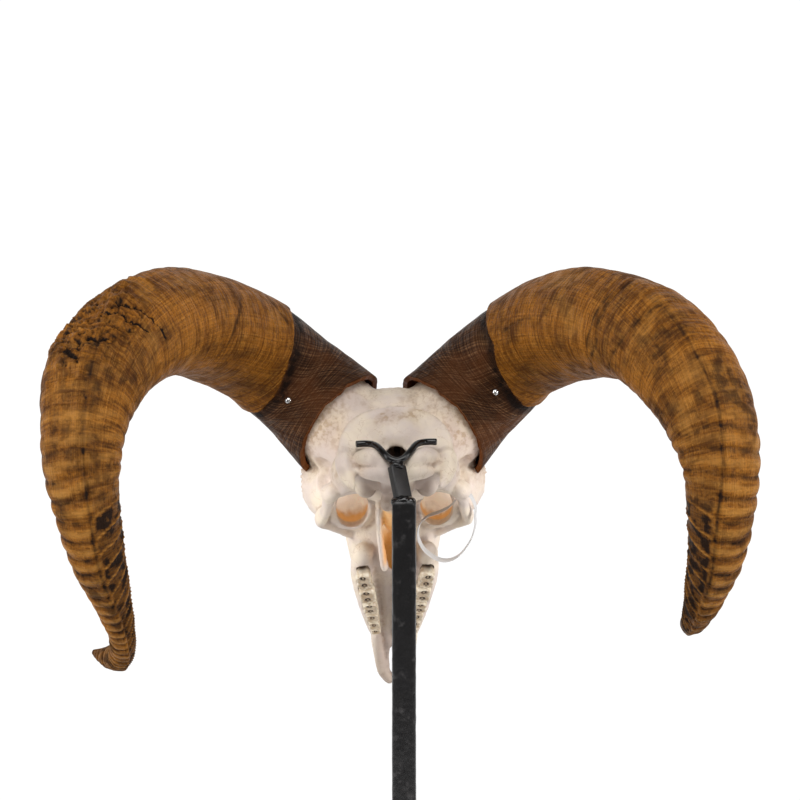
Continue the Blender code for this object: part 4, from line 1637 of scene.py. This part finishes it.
    def build(self, finish: BoneFinish, horns: Sequence[HornSheath], troughs: Sequence[Piece]) -> None:
        """Builds and dresses the skull.

        Args:
            finish: Its finish.
            horns: The sheaths that it carries.
            troughs: The cutters for the tooth sockets.
        """
        mass = self.broad_bones(horns)
        finish_modifier(mass, "REMESH", mode="VOXEL", voxel_size=self.voxel * 1.3 * MM)
        cutter = self.hollows()
        finish_modifier(cutter, "REMESH", mode="VOXEL", voxel_size=self.voxel * 1.3 * MM)
        cut_away(mass, cutter)
        for horn in horns:
            cut_away(mass, horn.room(self.core_room))
        skull = join("dressed_skull", [mass, self.slender_bones()])
        finish_modifier(skull, "REMESH", mode="VOXEL", voxel_size=self.voxel * MM)
        finish_modifier(skull, "SMOOTH", factor=0.5, iterations=4)
        for trough in troughs:
            cut_away(skull, trough)
        triangles = sum(len(p.vertices) - 2 for p in skull.data.polygons)
        if triangles > self.most_triangles:
            finish_modifier(skull, "DECIMATE", ratio=self.most_triangles / triangles)
        self.sculpt(skull, horns)
        hand_in(skull, finish.material(), 180.0, "bone", "skull")

    @staticmethod
    def dents(skull: Piece, rounds: int) -> np.ndarray:
        """How far each point lies below its smoothed surroundings.

        Args:
            skull: The fused skull.
            rounds: How many times the surroundings are averaged.

        Returns:
            The depths in millimetres, below 0 on edges.
        """
        ends = np.empty(len(skull.data.edges) * 2, int)
        skull.data.edges.foreach_get("vertices", ends)
        ends = ends.reshape(-1, 2)
        points = places_of(skull)
        count = np.bincount(ends.ravel(), minlength=len(points)).clip(1)[:, None]
        smooth = points.copy()
        for _ in range(rounds):
            total = np.zeros_like(smooth)
            for k in range(3):
                total[:, k] += np.bincount(ends[:, 0], smooth[ends[:, 1], k], len(points))
                total[:, k] += np.bincount(ends[:, 1], smooth[ends[:, 0], k], len(points))
            smooth = total / count
        return ((smooth - points) * normals_of(skull)).sum(axis=1)

    def sculpt(self, skull: Piece, horns: Sequence[HornSheath]) -> None:
        """Adds the fine relief of the bone and the masks for its colour, with its painted shade and painted light.

        Args:
            skull: The fused skull.
            horns: The sheaths, beside whose mouths the bone is rough and stained.
        """
        points = places_of(skull)
        normals = normals_of(skull)
        inverse = SKULL_FRAME.inverted()
        local = points @ np.array(inverse.to_3x3()).T + np.array(inverse.translation)
        slow = rough(points, 15.0, 2)
        fine = rough(points * (1.0, 0.5, 1.0), 3.4, 2)
        rim = np.zeros(len(points))
        for horn in horns:
            mouth = horn.outer_point(np.zeros(72), np.linspace(-180, 175, 72), np.zeros(72))
            lookup = finder(mouth)
            rim = np.maximum(rim, bell(np.array([lookup.find(p)[2] for p in points]), 13.0))
        moved = 0.35 * slow + 0.22 * fine + 0.8 * rim * rough(points, 2.6, 2)
        place_points(skull, points + normals * moved[:, None])
        local[:, 0] = np.abs(local[:, 0])
        x, v, w = local.T

        def inside(zone: Zone) -> np.ndarray:
            """How far each point lies inside a zone."""
            return math.prod(rise(start, full, local[:, axis]) for axis, start, full in zone)

        dent = self.dents(skull, 8)
        stain = rim + 0.5 * rise(0.15, 0.6, slow) * inside(self.back)
        stain += 0.8 * inside(self.crest) * rise(-0.4, 0.2, slow) + 0.6 * inside(self.ear)
        # Painted shade: the dents are darkened here besides the real stains.
        stain += 0.45 * rise(0.05, 0.3, dent) * rise(-0.2, 0.4, slow)
        # Painted light: an amber glow deep in the throat and low in the eye sockets, and a pale light higher in the
        # sockets, stand in for light through thin bone.
        deep = np.maximum(rise(9, 1, w), rise(88, 104, v) * rise(34, 28, w))
        throat = inside(self.throat) * deep * rise(-24, -12, w + 0.12 * (v - 100))
        throat *= 1 - rise(108, 114, v) * rise(-3, -6, w)
        socket = inside(self.socket)
        ragged = w + 3.0 * slow + 2.0 * fine
        glow = 0.75 * throat + 0.75 * socket * rise(31.0, 22.0, ragged)
        lit = socket * rise(22.0, 31.0, ragged)
        # Painted shade: the hollow mask darkens the brain case, the skull base, the palate and the dents, and patches
        # low on the skull.
        case = ((x / 30.0) ** 2 + ((w - 28.0) / 30.0) ** 2 < 1) * inside(self.brain_case)
        hollow = 0.4 * rise(0.1, 0.7, -slow) * rise(20, 0, w) + case + inside(self.skull_base)
        hollow += 0.75 * inside(self.palate) + 0.65 * rise(0.10, 0.75, dent)
        write_masks(skull, "bone_masks", stain, hollow, glow, lit)


# Teeth


@dataclass
class ToothRow:
    """One row of six cheek teeth, from the small premolars in front to the long molars behind."""

    side: Side
    teeth: tuple[tuple[str, float, float], ...] = (
        ("premolar_1", 7.0, 8.0), ("premolar_2", 9.0, 9.5), ("premolar_3", 10.0, 11.0), ("molar_1", 14.0, 12.5),
        ("molar_2", 18.0, 13.5), ("molar_3", 20.0, 12.5))
    front_end: Triple = (13.6, 198.5, -16.5)
    back_end: Triple = (24.4, 120.0, -12.5)
    crown: float = 8.0
    root: float = 6.0
    gap: float = 0.3

    def __post_init__(self) -> None:
        """Works out the row's line and its directions."""
        sign = self.side.value
        self.start = SKULL_FRAME @ Vector((self.front_end[0] * sign, *self.front_end[1:]))
        back = SKULL_FRAME @ Vector((self.back_end[0] * sign, *self.back_end[1:]))
        self.along = (back - self.start).normalized()
        down = SKULL_FRAME.to_3x3() @ Vector((0, 0, -1))
        self.out = self.along.cross(down).normalized() * -sign
        self.down = self.along.cross(self.out).normalized() * sign
        self.length = (back - self.start).length

    def places(self) -> Iterator[tuple[str, float, float, float]]:
        """Each tooth's name, start along the row, length and width."""
        spare = (self.length - sum(length for _, length, _ in self.teeth)) / (len(self.teeth) - 1)
        start = 0.0
        for name, length, width in self.teeth:
            yield name, start, length, width
            start += length + spare

    def trough(self) -> Piece:
        """The trough in the jaw bone that the row stands in.

        Returns:
            A closed cutter.
        """
        stops = []
        for _, start, length, width in self.places():
            stops += [(start - 1.6, width * 0.3), (start + length / 2, width), (start + length + 1.6, width * 0.3)]
        rings = [
            Ring(self.start + self.along * place + self.down * 8.0, self.out, self.down, width / 2 + self.gap,
                 self.root + 8.0 + self.gap)
            for place, width in [stops[0], (0.4, stops[1][1] * 0.8)] + stops[1:-1:3]
            + [(self.length - 0.4, stops[-2][1] * 0.8), stops[-1]]
        ]
        return sweep(f"{self.side.word}_trough", rings, 20)

    @staticmethod
    def pattern_tooth() -> Piece:
        """One cheek tooth of unit length, width and crown, from root to grinding face, with two lobes.

        Returns:
            The object, which is copied for every tooth.
        """
        levels = ((-0.75, 0.80), (-0.3, 0.88), (0.0, 0.95), (0.35, 1.0), (0.7, 0.99), (0.9, 0.95), (1.0, 0.88),
                  (1.0, 0.72), (0.99, 0.52), (0.98, 0.34), (0.98, 0.16), (0.98, 0.04))
        rings = [
            Ring(Vector((0, 0, depth)), Vector((1, 0, 0)), Vector((0, 1, 0)), 0.5 * share, 0.5 * share)
            for depth, share in levels
        ]
        tooth = sweep("pattern_tooth", rings, 24)
        finish_modifier(tooth, "SUBSURF", levels=1, render_levels=1)
        return tooth

    def shape(self, points: np.ndarray, molar: bool) -> tuple[np.ndarray, np.ndarray, np.ndarray]:
        """Turns the pattern's round outline into lobes and sinks the crescent hollows.

        Args:
            points: The pattern's points.
            molar: Whether it has two lobes.

        Returns:
            The shaped points, the mask of stain and painted shade, and the dentine mask.
        """
        a, o, d = points[:, 0] * 2, points[:, 1] * 2, points[:, 2]
        radius = np.hypot(a, o)
        angle = np.arctan2(o, a)
        lobes = 0.10 * np.cos(4 * angle) if molar else 0.05 * np.cos(2 * angle)
        waist = -0.17 * bell(np.abs(np.cos(angle)), 0.22) if molar else 0.0
        square = 0.16 * np.cos(4 * angle + math.pi)
        factor = 1 + (waist + 0.35 * lobes + square * 0.6)
        top = rise(0.85, 0.97, d)
        middles = (-0.45, 0.45) if molar else (0.0,)
        span = 0.42 if molar else 0.6
        hollow = np.zeros(len(points))
        for middle in middles:
            ring = np.hypot((a - middle) / span, (o + 0.05) / 0.55)
            hollow = np.maximum(hollow, bell(ring - 0.42, 0.2) * (o < 0.35))
        enamel = bell(radius - 0.85, 0.1)
        depth = d - top * (0.22 * hollow - 0.05 * enamel)
        ribs = 0.03 * np.cos(6 * angle) * rise(0.2, 0.6, d)
        ribs += 0.05 * np.sin(3.0 * angle + 9.0 * d) * rise(0.4, 0.9, d)
        shaped = np.stack([a / 2 * (factor + ribs), o / 2 * (factor + ribs), depth], axis=1)
        # Brown stain in the crescent hollows, and darker at the gum line.
        stain = top * rise(0.22, 0.62, hollow) + 0.6 * rise(0.3, 0.0, np.abs(d - 0.02))
        # Painted shade on the faces that meet the neighbouring teeth, below the grinding face.
        stain += 0.7 * rise(0.75, 1.0, np.abs(a)) * rise(0.95, 0.2, d)
        seam = bell(np.abs(np.cos(angle)), 0.1) * rise(0.6, 0.95, radius) * 0.6 if molar else 0.0
        return shaped, stain + seam, top * (1 - enamel) * 0.6

    def build(self, finish: Material, pattern: Piece) -> None:
        """Copies the pattern for every tooth of the row and dresses it.

        Args:
            finish: The teeth's material.
            pattern: The pattern tooth.
        """
        for name, start, length, width in self.places():
            tooth = pattern.copy()
            tooth.data = pattern.data.copy()
            tooth.name = f"{self.side.word}_{name}_crown"
            bpy.context.scene.collection.objects.link(tooth)
            shaped, stain, dentine = self.shape(places_of(tooth), name.startswith("molar"))
            middle = self.start + self.along * (start + length / 2)
            turn = np.array([self.along * length, self.out * width, self.down * self.crown])
            place_points(tooth, shaped @ turn + np.array(middle))
            write_masks(tooth, "tooth_masks", stain, dentine, dentine * 0, dentine * 0 + 1)
            with editing(tooth):
                face_outwards()
            hand_in(tooth, finish, 180.0, "tooth", f"{self.side.word}_{name}")


# Screws, stand and tag

SCREW_SEATS = (
    (Side.LEFT, (-79.0, 43.7, 43.2), (0.15, 1.0, 0.2)),
    (Side.RIGHT, (71.6, 41.5, 49.1), (0.05, 1.0, 0.2)),
)


@dataclass
class SheathScrew:
    """The button-headed screw that holds one sheath on its core."""

    side: Side
    seat: Triple
    inwards: Triple
    head: float = 2.4
    shank: float = 1.3
    length: float = 17.0

    def build(self, finish: Material) -> None:
        """Builds the screw and dresses it.

        Args:
            finish: Its material.
        """
        centre = Vector(self.seat) + Vector(NECK_OPENING)
        turn = Vector(self.inwards).to_track_quat("Z", "Y").to_matrix()
        across, upright, ahead = turn.col[0], turn.col[1], turn.col[2]
        profile = ((-1.5, 0.25), (-1.42, 0.9), (-1.1, 1.65), (-0.6, 2.15), (-0.1, 2.38), (0.5, self.head),
                   (0.85, self.head), (0.9, self.shank), (6.0, self.shank), (self.length - 2, self.shank),
                   (self.length, 0.3))
        rings = [Ring(centre + ahead * depth, across, upright, radius, radius) for depth, radius in profile]
        screw = sweep(f"{self.side.word}_button_screw", rings, 24)
        socket = sweep("hex_socket", [
            Ring(centre + ahead * depth, across, upright, 1.05, 1.05) for depth in (-2.5, -0.5)], 6)
        cut_away(screw, socket)
        hand_in(screw, finish, 35.0, "screw", f"{self.side.word}_sheath_screw")


@dataclass
class DisplayStand:
    """The black stand: a base plate, a hammered square post, a flat neck and a rod bent into a fork."""

    base: Triple = (240.0, 240.0, 8.0)
    post_width: float = 17.0
    post_y: float = -25.0
    post_top: float = 302.5
    neck_width: float = 12.6
    neck_thickness: float = 6.0
    rod: float = 2.4
    chamfer: float = 0.35
    arm: Rows = ((-34, 4, 342), (-26, 4, 342.3), (-20, -3, 341), (-14.5, -11.5, 336), (-10, -15, 332), (-5, -16, 330.5),
                 (-0.5, -15, 332), (4, -11.5, 336.5), (9, -3, 342), (15, 4, 343.5), (23, 4, 343.6))
    prong: Rows = ((-5, -16, 330), (-5, 4, 331), (-5, 22, 334), (-5, 40, 338))

    def rod_piece(self, name: str, points: Rows, sections: int) -> Piece:
        """A round rod along a smooth curve, with a small chamfer at each end.

        Args:
            name: The object's name.
            points: The given points.
            sections: How many rings it has.

        Returns:
            The rod.
        """
        rows = smooth_line(points, sections)
        tangents = tangents_of(rows)
        first = square_to(tangents, (0.1, -1, 0.2))
        second = np.cross(tangents, first)
        rings = rings_along(rows, first, second, self.rod, self.rod)
        small = self.rod - self.chamfer
        start = rings[0].copied(Vector(tangents[0]) * -self.chamfer, small, small)
        end = rings[-1].copied(Vector(tangents[-1]) * self.chamfer, small, small)
        return sweep(name, [start, *rings, end], 16)

    def build_fork(self, finish: Material) -> None:
        """Builds the bent arm with the prong that reaches into the neck opening.

        Args:
            finish: The rod's material.
        """
        fork = self.rod_piece("fork_rod", self.arm, 44)
        cut_away(fork, self.rod_piece("fork_prong", self.prong, 12), "UNION")
        hand_in(fork, finish, 50.0, "stand", "stand_fork")

    @staticmethod
    def bead(name: str, centre: Triple, radii: Triple, lumpiness: float, finish: Material) -> None:
        """Lays a lumpy run of weld.

        Args:
            name: The piece's name.
            centre: Its middle.
            radii: Its half sizes.
            lumpiness: How uneven it is, in millimetres.
            finish: Its material.
        """
        weld = begin(name, bpy.ops.mesh.primitive_uv_sphere_add, segments=40, ring_count=24, radius=1.0,
                     location=Vector(centre) * MM, scale=tuple(r * MM for r in radii))
        points = places_of(weld)
        ripple = rough(points, 3.4, 2)
        place_points(weld, points + normals_of(weld) * (ripple * lumpiness)[:, None])
        hand_in(weld, finish, 180.0, "stand")

    def build_post(self, finish: Material) -> None:
        """Builds the square post with its edges beaten wavy.

        Args:
            finish: Its material.
        """
        foot = self.base[2] + 0.1
        half = self.post_width / 2
        heights = [foot, foot + 0.8] + list(np.linspace(foot + 4, self.post_top - 4, 70))
        heights += [self.post_top - 1.0, self.post_top]
        rings = [Ring(Vector((0, self.post_y, z)), Vector((1, 0, 0)), Vector((0, 1, 0)), half, half) for z in heights]
        for end in (0, -1):
            rings[end] = rings[end].copied(Vector(), half - 0.8, half - 0.8)
        post = sweep("hammered_post", rings, 40)
        points = places_of(post)
        x, y = points[:, 0], points[:, 1] - self.post_y
        radius = np.hypot(x, y)
        angle = np.arctan2(y, x)
        square = 1 / (np.abs(np.cos(angle)) ** 9 + np.abs(np.sin(angle)) ** 9) ** (1 / 9)
        corner = rise(1.02, 1.25, square)
        dents = rough(points, 9.0, 2) * 0.28 + rough(points * (1, 1, 0.8), 5.0, 1) * 0.22 * corner
        grow = square + dents / np.maximum(radius, 1.0)
        points[:, 0] = x * grow
        points[:, 1] = y * grow + self.post_y
        place_points(post, points)
        hand_in(post, finish, 50.0, "stand", "stand_post")

    def build_neck(self, finish: Material) -> None:
        """Builds the flat bar between the post and the fork.

        Args:
            finish: Its material.
        """
        top = Vector((-5.3, -18.5, 326.6))
        bottom = Vector((-0.8, self.post_y, self.post_top + 1.6))
        lean = (top - bottom).to_track_quat("Z", "X").to_matrix() @ Matrix.Rotation(math.radians(90), 3, "Z")
        size = Vector((self.neck_width, self.neck_thickness, (top - bottom).length))
        neck = bevelled_block("flat_neck", (top + bottom) / 2, size, lean, 0.9)
        hand_in(neck, finish, 40.0, "stand", "stand_neck")

    def build_base(self, finish: Material) -> None:
        """Builds the plate that it all stands on.

        Args:
            finish: Its material.
        """
        middle = Vector((0, 0, self.base[2] / 2))
        base = bevelled_block("base_plate", middle, Vector(self.base), Matrix.Identity(3), 1.5)
        hand_in(base, finish, 40.0, "stand", "stand_base")

    def build(self) -> None:
        """Builds and dresses the whole stand."""
        hammered = BlackPaintFinish().material("hammered_black")
        # Painted light: the neck's black is lighter than the post's, for the light that its upturned face catches; its
        # higher roughness gives a satin finish.
        satin_lit = BlackPaintFinish(colour=(0.020, 0.019, 0.019, 1.0), roughness=0.42, marks=0.15).material("satin_black")
        glossy = BlackPaintFinish(roughness=0.14, marks=0.1).material("glossy_black")
        self.build_base(hammered)
        self.build_post(hammered)
        self.build_neck(satin_lit)
        self.build_fork(glossy)
        self.bead("post_weld", (-0.6, self.post_y - 0.5, self.post_top - 0.5), (8.8, 8.2, 4.2), 0.9, glossy)
        self.bead("fork_weld", (-5.0, -19.0, 327.5), (5.6, 4.6, 3.4), 0.9, glossy)


@dataclass
class TagBand:
    """The plain band that is looped round the right cheek arch."""

    width: float = 6.5
    thickness: float = 1.2
    loop: Rows = ((57.5, 64, -42), (57.5, 68, -49), (54, 73, -60), (46, 77, -70.5), (37.5, 79, -74.5), (29, 79, -73),
                  (20, 78, -66), (15.8, 76, -57), (17, 73, -47.5), (23, 70, -41.5), (31, 67, -38.5), (39, 62, -34),
                  (46, 60, -26.5), (53, 60, -25.5), (57.5, 62, -34))

    def build(self, finish: Material) -> None:
        """Builds the band and dresses it.

        Args:
            finish: Its material.
        """
        points = np.array(self.loop, float) + np.array(NECK_OPENING)
        count = len(points)
        fine = []
        for i in range(count):
            p0, p1, p2, p3 = (points[(i + k) % count] for k in (-1, 0, 1, 2))
            for t in (0.0, 0.2, 0.4, 0.6, 0.8):
                fine.append(0.5 * (2 * p1 + (p2 - p0) * t + (2 * p0 - 5 * p1 + 4 * p2 - p3) * t**2
                                   + (3 * p1 - p0 - 3 * p2 + p3) * t**3))
        rows = np.array(fine)
        tangents = tangents_of(rows, closed=True)
        facing = square_to(tangents, (0.25, 1.0, 0.45))
        outwards = np.cross(facing, tangents)
        rings = rings_along(rows, outwards, facing, self.thickness / 2, self.width / 2)
        hand_in(close_loop("white_tag_band", rings, 12), finish, 60.0, "tag", "tag_band")


# Studio


@dataclass
class Studio:
    """A pale floor, a white room, soft boxes and the camera at the photograph's angle."""

    lens: float = 157.5
    eye: Triple = (-0.00284, -2.5, 0.37357)
    floor_radius: float = 0.74
    pale: Colour = (0.86, 0.86, 0.86, 1.0)
    darker: Colour = (0.83, 0.83, 0.83, 1.0)
    aim: Triple = (0.0, 0.0, 0.34)
    boxes: tuple[tuple[str, Triple, tuple[float, float], float], ...] = (
        ("top_box", (0.0, -1.2, 1.55), (1.3, 0.9), 18.0),
        ("left_box", (-1.7, -0.9, 0.65), (0.7, 1.3), 34.0),
        ("right_box", (1.7, -0.9, 0.65), (0.7, 1.3), 35.0),
    )
    room_light: float = 0.06
    backdrop_light: float = 0.85
    seen_light: float = 1.05

    def place_camera(self) -> None:
        """Puts the camera level behind the skull."""
        lens = bpy.data.cameras.new("photo_camera")
        lens.sensor_width = 36.0
        lens.lens = self.lens
        camera = bpy.data.objects.new("photo_camera", lens)
        camera.location = self.eye
        camera.rotation_euler = (math.radians(90), 0.0, 0.0)
        bpy.context.scene.collection.objects.link(camera)
        bpy.context.scene.camera = camera

    def lay_floor(self) -> None:
        """Lays a round pale floor with a softened edge."""
        floor = begin("pale_floor", bpy.ops.mesh.primitive_cylinder_add, vertices=96, radius=self.floor_radius,
                      depth=0.02, location=(0, 0, -0.0101))
        finish_modifier(floor, "BEVEL", width=0.006, segments=3)
        smooth_faces(floor, 40.0)
        paper = Surface("pale_floor")
        cloud = paper.effect("patches", paper.place, 6.0, 2.0, 0.3, 0.7)
        floor.data.materials.append(paper.dress(paper.blend(cloud, self.pale, self.darker), 0.6))

    def soft_box(self, name: str, place: Triple, size: tuple[float, float], watts: float) -> None:
        """Hangs a soft box that faces the skull.

        Args:
            name: Its name.
            place: Where it hangs, in metres.
            size: Its width and height.
            watts: Its power.
        """
        light = bpy.data.lights.new(name, "AREA")
        light.shape = "RECTANGLE"
        light.size, light.size_y = size
        light.energy = watts
        box = bpy.data.objects.new(name, light)
        box.location = place
        aim = Vector(self.aim) - Vector(place)
        box.rotation_euler = aim.to_track_quat("-Z", "Y").to_euler()
        bpy.context.scene.collection.objects.link(box)

    def white_room(self) -> None:
        """Surrounds the set with a dim room and a bright white backdrop behind the skull."""
        world = bpy.data.worlds.new("white_room")
        world.use_nodes = True
        graph = Graph(world.node_tree)
        shader = world.node_tree.nodes["Background"]
        graph.put(shader.inputs["Color"], (1.0, 1.0, 1.0, 1.0))
        place = graph.add("TexCoord").outputs["Generated"]
        ahead = Number(graph, graph.add("SeparateXYZ", Vector=place).outputs["Y"])
        camera = Number(graph, graph.add("LightPath").outputs["Is Camera Ray"])
        light = ahead.spread(0.05, 0.6, self.room_light, self.backdrop_light)
        strength = (1.0 - camera) * light + camera * self.seen_light
        graph.put(shader.inputs["Strength"], strength)
        bpy.context.scene.world = world

    def build(self) -> None:
        """Sets up the whole studio."""
        self.place_camera()
        self.lay_floor()
        for box in self.boxes:
            self.soft_box(*box)
        self.white_room()
        bpy.context.scene.view_settings.view_transform = "Standard"


def main() -> None:
    """Builds every piece in order and reports each one."""
    logging.basicConfig(level=logging.INFO, format="%(name)s: %(message)s")
    SharedEffects().build()
    Studio().build()
    horns = [HornSheath(**LEFT_SHEATH), HornSheath(**RIGHT_SHEATH)]
    rows = [ToothRow(side) for side in Side]
    Skull().build(BoneFinish(), horns, [row.trough() for row in rows])
    for horn in horns:
        horn.build(HornFinish())
    pattern = ToothRow.pattern_tooth()
    enamel = ToothFinish().material()
    for row in rows:
        row.build(enamel, pattern)
    bpy.data.objects.remove(pattern)
    steel = ScrewFinish().material()
    for side, seat, inwards in SCREW_SEATS:
        SheathScrew(side, seat, inwards).build(steel)
    DisplayStand().build()
    TagBand().build(BandFinish().material())


if __name__ == "__main__":
    main()
    deselect()
    bpy.context.view_layer.update()
